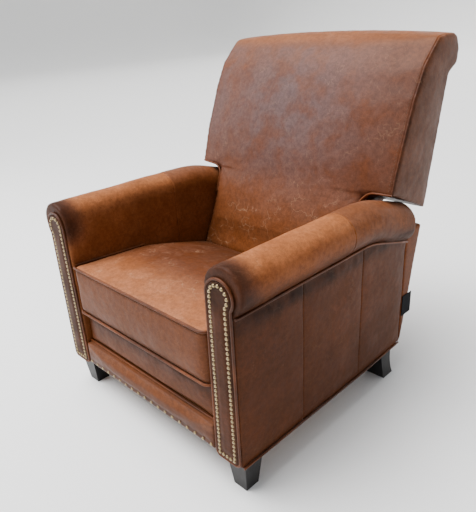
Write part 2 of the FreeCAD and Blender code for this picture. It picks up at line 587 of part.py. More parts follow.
# Rear shell: a leather-covered board behind the arms, raked, hollowed where the back swings.
shell_blank = side_prism("shell_blank", [
    ("arm_rear + rest_gap", "arm_bottom"), (rake_y("arm_bottom"), "arm_bottom"),
    (rake_y("shell_top"), "shell_top"), ("arm_rear + rest_gap", "shell_top"),
], "-panel_outer", "panel_outer")
hollow_low = "(arm_bottom + (arm_rear + rest_gap + shell_wall - rake_foot) / tan(rake))"
shell_hollow = side_prism("shell_hollow", [
    ("arm_rear + rest_gap", hollow_low),
    (rake_y("(shell_top + overcut)", "shell_wall"), "shell_top + overcut"),
    ("arm_rear - overcut", "shell_top + overcut"), ("arm_rear - overcut", hollow_low),
], "-arm_inner", "arm_inner")
keep("rear_shell", cut("rear_shell", shell_blank, shell_hollow))
keep("side_tab", block("side_tab", ("panel_outer + rest_gap", "panel_outer + rest_gap + tab_thickness"),
                       ("arm_rear + tab_inset", "arm_rear + tab_inset + tab_length"),
                       ("tab_low", "tab_low + tab_height")))

# ---------------------------------------------------------------- swing links
swing_pivots = {"front": "-front_pivot_y", "rear": "rear_pivot_y"}
for end, y in swing_pivots.items():
    top = (f"{y} + {SWING_STEP}", SEAT_RAIL_Z)
    pair(f"{end}_swing_links", [bar(f"{end}_swing_link", OUTER_LINK, (y, BASE_PIVOT_Z), top, "bar_width",
                                    [(y, BASE_PIVOT_Z, PIN_HOLE), (*top, PIN_HOLE)])])
    keep(f"{end}_link_tube", rod(f"{end}_link_tube", OUTER_LINK, f"{y} + {SWING_STEP} / 2",
                                 f"({BASE_PIVOT_Z} + {SEAT_RAIL_Z}) / 2", "tube_radius"))

# ---------------------------------------------------------------- seat frame
RAIL_LOW, RAIL_HIGH = f"{SEAT_RAIL_Z} - rail_half", f"{SEAT_RAIL_Z} + rail_half"
seat_pins = [(f"{y} + {SWING_STEP}", SEAT_RAIL_Z) for y in swing_pivots.values()]
hinge = ("hinge_y", SEAT_RAIL_Z)
toe = ("-toe_y", "toe_z")
guide = ("-guide_y", "guide_z")
toe_top = "toe_z + rail_half + toe_lip"
both_sides("seat_rail", side_prism("seat_rail_left", [
    ("-toe_y - rail_half", "toe_z - rail_half"), ("-toe_y + 2 * rail_half", RAIL_LOW),
    ("hinge_y + rail_half", RAIL_LOW), ("hinge_y + rail_half", RAIL_HIGH),
    ("-front_crossbar_y + rail_half", RAIL_HIGH), ("-guide_y + rail_half", toe_top),
    ("-toe_y - rail_half", toe_top),
], "rail_plane", "rail_plane + plate",
    [(*p, "pin_radius") for p in seat_pins + [hinge]] + [(*toe, "toe_pin"), (*guide, "toe_pin")]))
pair("seat_pins", [
    *[rod(f"seat_pin_{i}", f"{OUTER_LINK} + plate + pin_proud", y, z, "pin_radius", "rail_plane")
      for i, (y, z) in enumerate(seat_pins)],
    rod("hinge_pin", "rail_plane + plate", *hinge, "pin_radius", f"{FIRST_LINK} - pin_proud"),
    rod("toe_pin_left", "rail_plane + plate", *toe, "toe_pin", f"{FIRST_LINK} - pin_proud"),
    rod("guide_pin_left", "rail_plane + plate", *guide, "toe_pin", f"{GUIDE_LINK} - pin_proud"),
])

# The cushion's underside slopes; the crossbars carry the springs just under it.
SEAT_SLOPE = "((seat_front_bottom - seat_back_bottom) / (seat_front + seat_back))"


def under_seat(y):
    """Height of the cushion's underside at y."""
    return f"(seat_front_bottom - ({y} + seat_front) * {SEAT_SLOPE})"


WIRE_DEPTH = "(2 * wire_radius + rest_gap)"
between_rails = ("-rail_plane + rest_gap", "rail_plane - rest_gap")
for end, rear in (("front", "-front_crossbar_y"), ("rear", "rear_crossbar_y + crossbar_depth")):
    high = f"{under_seat(rear)} - {WIRE_DEPTH}"
    keep(f"seat_{end}_crossbar", block(f"seat_{end}_crossbar", between_rails,
                                       (f"{rear} - crossbar_depth", rear),
                                       (f"{high} - crossbar_height", high)))


def sinuous_spring(x):
    """A zigzag wire from the front crossbar to the rear one, in the slope of the seat."""
    bend_r, half, wire = size("wire_bend"), size("wire_width"), size("wire_radius")
    start_y = -size("front_crossbar_y") - size("crossbar_depth") / 2
    end_y = size("rear_crossbar_y") + size("crossbar_depth") / 2
    slope = (size("seat_front_bottom") - size("seat_back_bottom")) / (size("seat_front") + size("seat_back"))
    loops = int((end_y - start_y) / math.cos(math.atan(slope)) / (2 * bend_r))
    edges = []
    for i in range(loops + 1):
        side = half if i % 2 == 0 else -half
        y = i * 2 * bend_r
        first = Vector(0, y, 0) if i == 0 else Vector(-side, y, 0)
        last = Vector(0, y, 0) if i == loops else Vector(side, y, 0)
        edges.append(Part.LineSegment(first, last).toShape())
        if i < loops:
            crown = Vector(side + math.copysign(bend_r, side), y + bend_r, 0)
            edges.append(Part.Arc(last, crown, Vector(side, y + 2 * bend_r, 0)).toShape())
    section = Part.Wire([Part.Circle(Vector(0, 0, 0), Vector(1, 0, 0), wire).toShape()])
    spring = Part.Wire(edges).makePipeShell([section], True, False)
    high = size("seat_front_bottom") - (start_y + size("seat_front")) * slope
    spring.Placement = FreeCAD.Placement(Vector(x, start_y, high - wire - size("rest_gap")),
                                         FreeCAD.Rotation(Vector(1, 0, 0), -math.degrees(math.atan(slope))))
    return spring


spring_count = int(size("spring_count"))
shaped("seat_springs", Part.Compound([
    sinuous_spring((i - (spring_count - 1) / 2) * size("spring_share") * 2 * size("rail_plane"))
    for i in range(spring_count)]))

# ---------------------------------------------------------------- seat cushion
cushion = side_prism("seat_cushion", [
    ("-seat_front", "seat_front_bottom"), ("seat_back", "seat_back_bottom"), ("seat_back", "seat_back_top"),
    ("-seat_break_y", "seat_break_top"), ("-seat_front", "seat_front_top"),
], "-cushion_half", "cushion_half")
upright_edges = []
for side in (-1, 1):
    upright_edges += edges_at(cushion, (0, 1), side * size("cushion_half"), -size("seat_front"))
dress(cushion, "Fillet", upright_edges, "seat_corner")
rim_edges = []
for index, edge in enumerate(cushion.Shape.Edges, start=1):
    box = edge.BoundBox
    level_front = box.YMin < -size("seat_break_y") - 1
    flat = box.ZLength < size("seat_front_bottom") - size("seat_back_bottom") + 1
    if level_front and flat and box.YMin > -size("seat_front") - 1:
        rim_edges.append(f"Edge{index}")
dress(cushion, "Chamfer", rim_edges, "welt_radius * sqrt(2) + rest_gap")
keep("seat_cushion", cushion)


def seat_welt(front_z, rear_z):
    """Piping along the front edge of the cushion, round its corners and back to the break."""
    half, front, back = size("cushion_half"), -size("seat_front"), -size("seat_break_y")
    corner = size("seat_corner")
    route = [Vector(-half, back, rear_z), Vector(-half, front, front_z),
             Vector(half, front, front_z), Vector(half, back, rear_z)]
    return pipe(route, size("welt_radius"), [corner, corner])


slope_run = size("seat_front") - size("seat_break_y")
under_break = size("seat_front_bottom") - slope_run * (
    size("seat_front_bottom") - size("seat_back_bottom")) / (size("seat_front") + size("seat_back"))
shaped("seat_top_welt", seat_welt(size("seat_front_top"), size("seat_break_top")))
shaped("seat_bottom_welt", seat_welt(size("seat_front_bottom"), under_break))

# ---------------------------------------------------------------- footrest
KNEE = ("-toe_y", "toe_z - toe_link")
BOARD_PIVOT = ("-toe_y - board_pivot_back", "toe_z")
GUIDE_KNEE = (f"{KNEE[0]} + guide_back", f"{KNEE[1]} - guide_drop")
pair("footrest_first_links", [bar("first_link", FIRST_LINK, toe, KNEE, "toe_bar",
                                  [(*toe, TOE_HOLE), (*KNEE, "toe_pin")])])
second_lug = rod("second_lug", f"{SECOND_LINK} + plate", *GUIDE_KNEE, "toe_bar / 2", SECOND_LINK)
second_bar = bar("second_bar", SECOND_LINK, KNEE, BOARD_PIVOT, "toe_bar",
                 [(*KNEE, TOE_HOLE), (*BOARD_PIVOT, TOE_HOLE)])
second_bore = group("second_bores", [
    rod(f"second_bore_{i}", f"{SECOND_LINK} + plate + overrun", *place, radius, f"{SECOND_LINK} - overrun")
    for i, (place, radius) in enumerate(((GUIDE_KNEE, "toe_pin / 2"), (KNEE, TOE_HOLE)))])
pair("footrest_second_links", [cut("second_link", fuse("second_blank", [second_bar, second_lug]), second_bore)])
pair("footrest_guide_links", [bar("guide_link", GUIDE_LINK, guide, GUIDE_KNEE, "toe_bar",
                                  [(*guide, TOE_HOLE), (*GUIDE_KNEE, "toe_pin / 2 + open_play")])])
pair("knee_pins", [rod("knee_pin", f"{FIRST_LINK} + plate", *KNEE, "toe_pin", f"{SECOND_LINK} + pin_short")])
pair("guide_pins", [rod("guide_knee_pin", f"{SECOND_LINK} + plate", *GUIDE_KNEE, "toe_pin / 2",
                        f"{GUIDE_LINK} + pin_short")])
pair("board_pins", [rod("board_pin", f"{SECOND_LINK} + plate", *BOARD_PIVOT, "toe_pin", BRACKET)])

# Bracket behind the board, an angle of two plates; the board is plywood with a padded face.
bracket_web = side_prism("bracket_web", [
    ("-ply_back", "band_top"), ("-ply_back + toe_bar", "toe_z - toe_bar"),
    ("-ply_back + toe_bar", "toe_z + toe_bar / 2"), ("-ply_back", "toe_z + toe_bar / 2"),
], BRACKET, f"{BRACKET} + plate", [(*BOARD_PIVOT, "toe_pin")])
bracket_flange = block("bracket_flange", (f"{BRACKET} - toe_bar", BRACKET), ("-ply_back", "-ply_back + plate"),
                       ("band_top", "toe_z + toe_bar / 2"))
pair("footrest_brackets", [fuse("footrest_bracket", [bracket_web, bracket_flange])])
across = ("-board_half", "board_half")
PLY_FRONT = "(-ply_back - ply)"
BAND_FRONT = f"({PLY_FRONT} - band_thickness)"
keep("footrest_board", block("footrest_board", across, (PLY_FRONT, "-ply_back"), ("board_bottom", "board_top")))
keep("footrest_pad", block("footrest_pad", across, (f"{PLY_FRONT} - pad_thickness", PLY_FRONT),
                           ("band_top + 2 * piping_radius", "board_top")))
band = side_prism("footrest_band", [
    (PLY_FRONT, "board_bottom"), (BAND_FRONT, "board_bottom"),
    (BAND_FRONT, "band_top"), (PLY_FRONT, "band_top")], *across)
keep("footrest_band", band)
band_front = -(size("ply_back") + size("ply") + size("band_thickness"))
pad_front = -(size("ply_back") + size("ply") + size("pad_thickness"))
board_half = size("board_half")
seam_z = size("band_top") + piping
shaped("footrest_welt", pipe([Vector(-board_half, pad_front - piping, seam_z),
                              Vector(board_half, pad_front - piping, seam_z)], piping))
nail_row = int((2 * board_half - 2 * size("nail_inset")) / size("board_nail_pitch"))
row_z = size("board_bottom") + size("nail_inset")
shaped("footrest_nails", Part.Compound([
    nail(Vector((i - nail_row / 2) * size("board_nail_pitch"), band_front, row_z), TO_FRONT)
    for i in range(nail_row + 1)]))

# ---------------------------------------------------------------- back
# Side profile of the back: the upholstered front, the frame line behind it, and the rear.
POST_FRONT = [("post_foot", "stem_bottom"), ("post_mid_y", "post_mid_z"), ("post_wing_y", "post_wing_z"),
              ("post_high_y", "post_high_z"), ("post_top_y", "post_top_z")]
POST_DEPTH = ["post_foot_deep", "post_mid_deep", "post_wing_deep", "post_high_deep", "post_top_deep"]
PAD_REAR = [(f"{y} - pad_gap", z) for y, z in POST_FRONT]
WING_SLOPE = f"((wing_z - wing_rear_z) / ({rake_y('wing_rear_z')} - wing_y))"


def under_wing(y):
    """Height of the wings' underside at y."""
    return f"(wing_z - ({y} - wing_y) * {WING_SLOPE})"


FRONT_LINE = [("wing_y", "wing_z"), ("chest_y", "chest_z"), ("shoulder_y", "shoulder_z"),
              ("neck_y", "neck_z"), ("crest_y", "crest_z")]
SEAM_TOP = ("post_top_y + seam_back", "crest_z + overrun")
PAD_RAKE = "((post_wing_y - post_mid_y) / (post_wing_z - post_mid_z))"
WING_SEAM_Y = (f"((post_mid_y - pad_gap + {PAD_RAKE} * (wing_z + {WING_SLOPE} * wing_y - post_mid_z))"
               f" / (1 + {PAD_RAKE} * {WING_SLOPE}))")
head_front = side_prism("head_front", FRONT_LINE + [SEAM_TOP] + PAD_REAR[:1:-1] + [
    (WING_SEAM_Y, under_wing(WING_SEAM_Y))], "-back_half", "back_half")
stem_front = side_prism("stem_front", [
    ("stem_foot", "stem_bottom"), ("lumbar_y", "lumbar_z"), ("wing_y", "wing_z"),
    ("(wing_y + post_wing_y) / 2", "wing_z + stem_tuck"), PAD_REAR[2], PAD_REAR[1], PAD_REAR[0]],
    "-stem_half", "stem_half")
keep("back_cushion", fuse("back_cushion", [head_front, stem_front]))

head_rear = side_prism("head_rear", [
    (WING_SEAM_Y, under_wing(WING_SEAM_Y)), *PAD_REAR[2:], SEAM_TOP, ("head_y", "head_z"),
    ("head_rear", "(head_z + head_low) / 2"), ("head_rear - head_slope", "head_low"),
    (rake_y("pinch_z"), "pinch_z"), (rake_y("pinch_z - outback", "outback"), "pinch_z - outback"),
    (rake_y("wing_rear_z", "outback"), "wing_rear_z")], "-back_half", "back_half")
dress(head_rear, "Fillet", edges_at(head_rear, (1, 2), size("head_y"), size("head_z")), "head_round")
STEM_REAR = [(f"{y} + {deep} + stem_wall", z) for (y, z), deep in zip(POST_FRONT[:2], POST_DEPTH)]
STEM_FLARE = f"({STEM_REAR[1][0]} + stem_flare)"
stem_rear = side_prism("stem_rear", [
    PAD_REAR[0], PAD_REAR[1], PAD_REAR[2], ("post_wing_y + post_wing_deep", "post_wing_z"),
    (STEM_FLARE, f"{under_wing(STEM_FLARE)} + overrun"), STEM_REAR[1], STEM_REAR[0],
], "-stem_half", "stem_half")
cavity_rear = [(f"{y} + {deep} + rest_gap", z) for (y, z), deep in zip(POST_FRONT, POST_DEPTH)]
frame_cavity = side_prism("frame_cavity", [
    (f"{PAD_REAR[0][0]} - overcut", "stem_bottom - overcut"), (f"{PAD_REAR[0][0]} - overcut", "stem_bottom"),
    *PAD_REAR,
    (PAD_REAR[-1][0], "post_top_z + rest_gap"), (cavity_rear[-1][0], "post_top_z + rest_gap"),
    *cavity_rear[-2::-1], (cavity_rear[0][0], "stem_bottom - overcut")],
    "-rail_plane + post_gap", "rail_plane - post_gap")
cover_blank = fuse("back_cover_blank", [head_rear, stem_rear])
keep("back_cover", cut("back_cover", cover_blank, frame_cavity))
OUTBACK_LOW, OUTBACK_HIGH = "(wing_rear_z + outback_low)", "(pinch_z - outback_high)"
keep("outside_back", side_prism("outside_back", [
    (rake_y(OUTBACK_LOW, "outback - panel_gap"), OUTBACK_LOW), (rake_y(OUTBACK_LOW), OUTBACK_LOW),
    (rake_y(OUTBACK_HIGH), OUTBACK_HIGH), (rake_y(OUTBACK_HIGH, "outback - panel_gap"), OUTBACK_HIGH)],
    "-outback_half", "outback_half"))

# Timber frame of the back: two shaped posts, three rails, webbing straps across the front.
post_x = (f"{FIRST_LINK} - post_gap - post_width", f"{FIRST_LINK} - post_gap")
post_profile = POST_FRONT + [(f"{y} + {deep}", z) for (y, z), deep in zip(POST_FRONT, POST_DEPTH)][::-1]
back_post = side_prism("back_post", post_profile, *post_x)
rails_x = (f"-({post_x[0]})", post_x[0])


def back_rail(name, low, height, line):
    """A rail between the posts, set back from one straight length of their front."""
    (y_a, z_a), (y_b, z_b) = line
    lean = f"(({y_b}) - ({y_a})) / (({z_b}) - ({z_a}))"
    front = [(f"{y_a} + back_rail_setback + (({z}) - ({z_a})) * {lean}", z) for z in (low, f"{low} + {height}")]
    rear = [(f"{y} + back_rail_depth", z) for y, z in front[::-1]]
    return side_prism(name, front + rear, *rails_x)


low_line, high_line = POST_FRONT[:2], POST_FRONT[2:4]
back_rails = [back_rail("back_bottom_rail", "stem_bottom + low_rail_lift", "low_rail_height", low_line),
              back_rail("back_middle_rail", "post_wing_z", "middle_rail_height", high_line),
              back_rail("back_top_rail", "post_top_z - top_rail_height", "top_rail_height", POST_FRONT[3:])]
keep("back_frame", group("back_frame", [back_post, mirror("back_post_right", back_post)] + back_rails))


def strap(name, line, share):
    """An elastic strap across the posts, at a share of one straight length of their front."""
    low, high = [Vector(0, size(y), size(z)) for y, z in line]
    along = high - low
    lean = math.atan2(along.y, along.z)
    ribbon = doc.addObject("Part::Box", name)
    ribbon.setExpression("Length", bound(f"2 * ({post_x[1]})"))
    ribbon.setExpression("Width", bound("strap"))
    ribbon.setExpression("Height", bound("strap_width"))
    forward = Vector(0, -math.cos(lean), math.sin(lean)) * (size("strap") + size("rest_gap"))
    ribbon.Placement = FreeCAD.Placement(low + along * share + forward,
                                         FreeCAD.Rotation(Vector(1, 0, 0), -math.degrees(lean)))
    ribbon.setExpression("Placement.Base.x", bound(f"-({post_x[1]})"))
    return ribbon


keep("back_webbing", group("back_webbing", [
    strap(f"strap_{part}_{i}", line, size("strap_first") + i * size("strap_pitch"))
    for part, line in (("low", low_line), ("high", high_line)) for i in range(3)]))

# Steel bracket on each post: the recline hinge and, behind it, the pivot of the control link.
RECLINE_TOP = ("hinge_y + recline_reach", SEAT_RAIL_Z)
pair("back_brackets", [side_prism("back_bracket", [
    ("hinge_y - rail_half", f"{SEAT_RAIL_Z} - rail_half"),
    (f"{RECLINE_TOP[0]} + rail_half", f"{SEAT_RAIL_Z} - rail_half"),
    (f"{RECLINE_TOP[0]} + rail_half", f"{SEAT_RAIL_Z} + rail_half"),
    ("post_foot + post_foot_deep", "stem_bottom"), ("post_foot + post_foot_deep", "stem_bottom + bracket_rise"),
    ("post_foot + bracket_set", "stem_bottom + bracket_rise"), ("post_foot", "stem_bottom"),
    ("hinge_y - rail_half", f"{SEAT_RAIL_Z} + rail_half"),
], FIRST_LINK, f"{FIRST_LINK} + plate", [(*hinge, PIN_HOLE), (*RECLINE_TOP, "toe_pin")])])
pair("control_pins", [rod("control_pin", "rail_plane + plate", *RECLINE_TOP, "toe_pin", FIRST_LINK)])
pair("recline_links", [bar("recline_link", "rail_plane", ("recline_y", RECLINE_Z), RECLINE_TOP, "toe_bar",
                           [("recline_y", RECLINE_Z, PIN_HOLE), (*RECLINE_TOP, "toe_pin + open_play")])])

# Piping under the front edge of each wing.
wing_piping_y, wing_piping_z = size("wing_y") - size("piping_tuck"), size("wing_z") - size("piping_tuck")
wing_run = pipe([Vector(size("stem_half") + size("wing_piping_start"), wing_piping_y, wing_piping_z),
                 Vector(size("back_half"), wing_piping_y, wing_piping_z)], piping)
shaped("wing_piping", Part.Compound([wing_run, wing_run.mirror(Vector(0, 0, 0), Vector(1, 0, 0))]))

# ---------------------------------------------------------------- check and write
doc.recompute()
failed = [o.Name for o in doc.Objects if {"Invalid", "Error"} & set(o.State)]
for label, thing in nodes.items():
    if thing.Shape.isNull() or not thing.Shape.isValid() or not thing.Shape.Solids:
        failed.append(label)
if failed:
    raise RuntimeError("not built: " + ", ".join(failed))
os.makedirs("parts", exist_ok=True)
for label, thing in nodes.items():
    thing.Shape.exportStep(f"parts/{label}.step")
print(len(nodes), "nodes")
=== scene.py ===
"""A push-back club recliner, dressed round its fixed frame: black wooden feet, a timber and steel
inside, rolled arms with nail-trimmed fronts, a sprung seat, a folding footrest and a T-shaped back,
all covered in waxed brown sheepskin. Lengths are metres and the frame is the fitted model's own.
"""
import math
import bpy
import numpy as np
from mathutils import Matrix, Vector, noise


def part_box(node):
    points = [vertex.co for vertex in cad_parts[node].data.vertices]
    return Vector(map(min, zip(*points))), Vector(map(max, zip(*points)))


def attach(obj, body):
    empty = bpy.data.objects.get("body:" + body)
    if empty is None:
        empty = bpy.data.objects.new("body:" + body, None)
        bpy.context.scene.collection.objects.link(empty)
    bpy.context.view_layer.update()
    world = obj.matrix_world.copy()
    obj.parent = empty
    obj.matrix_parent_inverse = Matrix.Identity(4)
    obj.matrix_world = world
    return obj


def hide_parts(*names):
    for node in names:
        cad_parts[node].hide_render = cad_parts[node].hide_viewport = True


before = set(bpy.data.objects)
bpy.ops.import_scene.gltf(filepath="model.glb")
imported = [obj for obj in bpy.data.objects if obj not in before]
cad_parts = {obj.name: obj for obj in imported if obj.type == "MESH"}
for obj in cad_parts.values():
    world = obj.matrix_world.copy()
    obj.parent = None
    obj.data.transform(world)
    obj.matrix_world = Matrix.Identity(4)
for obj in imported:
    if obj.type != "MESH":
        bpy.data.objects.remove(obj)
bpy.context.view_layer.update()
MM = 0.001

# ------------------------------------------------------------------ studio
# A pale floor that curves up into two walls behind the chair, under a soft overcast day from above the
# sitter's right, with two panels and the room's own light to fill. The camera stands at the
# sitter's front left corner, a little above head height, looking down.
FLOOR_HALF, FLOOR_SWEEP, FLOOR_COLOUR = 16, 2.5, "#f4f3f1"
ROOM_COLOUR, ROOM_STRENGTH = "#eef2f8", 0.6
DAY_FROM, DAY_STRENGTH, DAY_SPREAD = (-0.8, -0.55, 2.6), 5.0, 50
PANELS = (("sky_panel", (-1.1, -1.5, 3.0), (0, 0, 0.4), 2.4, 90, "#f8faff"),
          ("side_panel", (-3.0, -1.2, 1.6), (0, 0, 0.5), 1.8, 30, "#ffffff"))
CAMERA_PLACE = (1.062, -1.100, 1.052)
CAMERA_TURN = (65.76, 0.0, 46.11)
CAMERA_ROLL = -3.328
CAMERA_LENS = 37.94
CAMERA_SHIFT = (0.004, 0.013)


def linear(colour):
    """An sRGB hex colour as linear red, green, blue and full alpha."""
    parts = [int(colour[i:i + 2], 16) / 255 for i in (1, 3, 5)]
    return [c / 12.92 if c <= 0.04045 else ((c + 0.055) / 1.055) ** 2.4 for c in parts] + [1.0]


def add(tree, kind, inputs=(), **settings):
    """Adds one shader node; each input is a value, or the output socket that feeds it."""
    made = tree.nodes.new(kind)
    for word, value in settings.items():
        setattr(made, word, value)
    for word, value in dict(inputs).items():
        if isinstance(value, bpy.types.NodeSocket):
            tree.links.new(value, made.inputs[word])
        else:
            made.inputs[word].default_value = value
    return made


def alone(piece):
    """Selects one object and makes it active."""
    bpy.ops.object.select_all(action="DESELECT")
    piece.select_set(True)
    bpy.context.view_layer.objects.active = piece


bpy.ops.object.select_all(action="DESELECT")
bpy.ops.mesh.primitive_plane_add(size=2 * FLOOR_HALF)
floor = bpy.context.object
floor.name = "studio_floor"
for face in floor.data.polygons:
    face.select = False
for vertex in floor.data.vertices:
    vertex.select = vertex.co.y > 0 or vertex.co.x < 0
for edge in floor.data.edges:
    edge.select = any(all(test(floor.data.vertices[i].co) for i in edge.vertices)
                      for test in (lambda spot: spot.y > 0, lambda spot: spot.x < 0))
bpy.ops.object.mode_set(mode="EDIT")
bpy.ops.mesh.extrude_region_move(TRANSFORM_OT_translate={"value": (0, 0, FLOOR_HALF)})
bpy.ops.object.mode_set(mode="OBJECT")
curve_up = floor.modifiers.new("Sweep", "BEVEL")
curve_up.width = FLOOR_SWEEP
curve_up.segments = 12
curve_up.limit_method = "ANGLE"
bpy.ops.object.modifier_apply(modifier=curve_up.name)
bpy.ops.object.shade_smooth()
paint = bpy.data.materials.new("studio_paint")
paint.use_nodes = True
paint.node_tree.nodes["Principled BSDF"].inputs["Base Color"].default_value = linear(FLOOR_COLOUR)
paint.node_tree.nodes["Principled BSDF"].inputs["Roughness"].default_value = 0.9
floor.data.materials.append(paint)

room = bpy.data.worlds.new("studio_room")
room.use_nodes = True
room.node_tree.nodes["Background"].inputs["Color"].default_value = linear(ROOM_COLOUR)
room.node_tree.nodes["Background"].inputs["Strength"].default_value = ROOM_STRENGTH
bpy.context.scene.world = room
for name, place, aim, size, power, colour in PANELS:
    bpy.ops.object.light_add(type="AREA", location=place)
    lamp = bpy.context.object
    lamp.name = name
    lamp.data.size = size
    lamp.data.energy = power
    lamp.data.color = linear(colour)[:3]
    lamp.rotation_euler = (Vector(aim) - Vector(place)).to_track_quat("-Z", "Y").to_euler()

bpy.ops.object.light_add(type="SUN", rotation=Vector(DAY_FROM).to_track_quat("Z", "Y").to_euler())
day = bpy.context.object
day.name = "overcast_day"
day.data.energy = DAY_STRENGTH
day.data.angle = math.radians(DAY_SPREAD)

bpy.ops.object.camera_add(location=CAMERA_PLACE, rotation=[math.radians(a) for a in CAMERA_TURN])
camera = bpy.context.object
camera.rotation_euler.rotate_axis("Z", math.radians(CAMERA_ROLL))
camera.data.lens = CAMERA_LENS
camera.data.shift_x, camera.data.shift_y = CAMERA_SHIFT
bpy.context.scene.camera = camera

# ------------------------------------------------------------------ feet
# Four beech feet, stained black and lacquered satin: tapered blocks in front, raked sabre blocks
# behind, each held by a bolt that is hidden in it.
FOOT_BLACK, FOOT_BROWN = "#070606", "#120d0b"
WOOD_LINE = 3.5 * MM


def coat(names, material):
    """Gives fitted nodes their finish."""
    for word in names:
        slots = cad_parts[word].data.materials
        slots.clear()
        slots.append(material)


def material_tree(name, **values):
    """A new material's node tree, its shader and the place on the object that patterns read."""
    made = bpy.data.materials.new(name)
    made.use_nodes = True
    shader = made.node_tree.nodes["Principled BSDF"]
    for word, value in values.items():
        shader.inputs[word.replace("_", " ")].default_value = value
    return made, made.node_tree, shader, add(made.node_tree, "ShaderNodeTexCoord").outputs["Object"]


# Black-stained beech, satin lacquer: the pores show as fine upright streaks, a little browner.
stained_beech, tree, shader, place = material_tree("stained_beech", Specular_IOR_Level=0.25)
stretch = add(tree, "ShaderNodeMapping", {"Vector": place, "Scale": (1, 1, 0.08)})
streaks = add(tree, "ShaderNodeTexNoise", {"Vector": stretch.outputs[0], "Scale": 1 / WOOD_LINE,
                                           "Detail": 4.0})
stain = add(tree, "ShaderNodeMix", {0: streaks.outputs[0], 6: linear(FOOT_BLACK), 7: linear(FOOT_BROWN)},
            data_type="RGBA")
tree.links.new(stain.outputs[2], shader.inputs["Base Color"])
gloss = add(tree, "ShaderNodeMapRange", {"Value": streaks.outputs[0], "To Min": 0.3, "To Max": 0.5})
tree.links.new(gloss.outputs[0], shader.inputs["Roughness"])
relief = add(tree, "ShaderNodeBump", {"Height": streaks.outputs[0], "Strength": 0.3, "Distance": 0.3 * MM})
tree.links.new(relief.outputs[0], shader.inputs["Normal"])
coat([f"{end}_foot_{side}" for end in ("front", "rear") for side in ("left", "right")], stained_beech)

# ------------------------------------------------------------------ timber inside
# Sawn hardwood rails and posts and a plywood board, unfinished: they show only from below and
# behind, or when the chair is reclined.
SAWN_PALE, SAWN_DARK = "#b08a5c", "#8a6439"
TIMBERS = ["arm_frame_left", "arm_frame_right", "front_rail", "rear_rail", "side_rail_left",
           "side_rail_right", "seat_front_crossbar", "seat_rear_crossbar", "back_frame", "footrest_board"]
GRAIN_WIDTH = 6 * MM

# Unfinished hardwood: long grain across the chair, dull, with a fine fuzzy saw texture.
sawn_hardwood, tree, shader, place = material_tree("sawn_hardwood", Specular_IOR_Level=0.3)
along = add(tree, "ShaderNodeMapping", {"Vector": place, "Scale": (0.06, 1, 1)})
rings = add(tree, "ShaderNodeTexNoise", {"Vector": along.outputs[0], "Scale": 1 / GRAIN_WIDTH,
                                         "Detail": 5.0, "Distortion": 0.6})
timber = add(tree, "ShaderNodeMix", {0: rings.outputs[0], 6: linear(SAWN_PALE), 7: linear(SAWN_DARK)},
             data_type="RGBA")
tree.links.new(timber.outputs[2], shader.inputs["Base Color"])
shader.inputs["Roughness"].default_value = 0.78
relief = add(tree, "ShaderNodeBump", {"Height": rings.outputs[0], "Strength": 0.5, "Distance": 0.4 * MM})
tree.links.new(relief.outputs[0], shader.inputs["Normal"])
coat(TIMBERS, sawn_hardwood)

# ------------------------------------------------------------------ mechanism
# Pressed steel plates, links and rails in black powder coat, on zinc-plated rivets and pins, with
# oil-tempered zigzag springs under the seat and elastic straps across the back.
POWDER_BLACK, POWDER_WORN = "#161617", "#2c2b2b"
ZINC_LIGHT, ZINC_DULL = "#b3b4b0", "#7d7c76"
SPRING_BLUE = "#3b3d42"
STRAP_BLACK, STRAP_GREY = "#141414", "#33312f"
POWDER_GRAIN, POWDER_RUB = 1.2 * MM, 40 * MM
ZINC_SPANGLE, STRAP_RIB = 6.25 * MM, 10 * MM
WIRE_MARKS = 90.0

# Powder-coated steel: an even black skin with a fine orange-peel texture.
powder_coat, tree, shader, place = material_tree("powder_coated_steel", Specular_IOR_Level=0.45)
peel = add(tree, "ShaderNodeTexNoise", {"Vector": place, "Scale": 1 / POWDER_GRAIN, "Detail": 2.0})
rubbed = add(tree, "ShaderNodeTexNoise", {"Vector": place, "Scale": 1 / POWDER_RUB, "Detail": 5.0})
skin = add(tree, "ShaderNodeMix", {0: rubbed.outputs[0], 6: linear(POWDER_BLACK), 7: linear(POWDER_WORN)},
           data_type="RGBA")
tree.links.new(skin.outputs[2], shader.inputs["Base Color"])
shader.inputs["Roughness"].default_value = 0.42
relief = add(tree, "ShaderNodeBump", {"Height": peel.outputs[0], "Strength": 0.35, "Distance": 0.15 * MM})
tree.links.new(relief.outputs[0], shader.inputs["Normal"])
coat(["base_plates", "front_swing_links", "front_link_tube", "rear_swing_links", "rear_link_tube",
      "seat_rail_left", "seat_rail_right", "back_brackets", "recline_links", "footrest_first_links",
      "footrest_second_links", "footrest_guide_links", "footrest_brackets"], powder_coat)

# Zinc-plated steel: a dull silver with cloudy spangle.
zinc_plate, tree, shader, place = material_tree("zinc_plated_steel", Metallic=1.0)
spangle = add(tree, "ShaderNodeTexNoise", {"Vector": place, "Scale": 1 / ZINC_SPANGLE, "Detail": 3.0})
plating = add(tree, "ShaderNodeMix", {0: spangle.outputs[0], 6: linear(ZINC_LIGHT), 7: linear(ZINC_DULL)},
              data_type="RGBA")
tree.links.new(plating.outputs[2], shader.inputs["Base Color"])
sheen = add(tree, "ShaderNodeMapRange", {"Value": spangle.outputs[0], "To Min": 0.28, "To Max": 0.45})
tree.links.new(sheen.outputs[0], shader.inputs["Roughness"])
coat(["base_pins", "seat_pins", "control_pins", "knee_pins", "guide_pins", "board_pins", "foot_bolts"],
     zinc_plate)

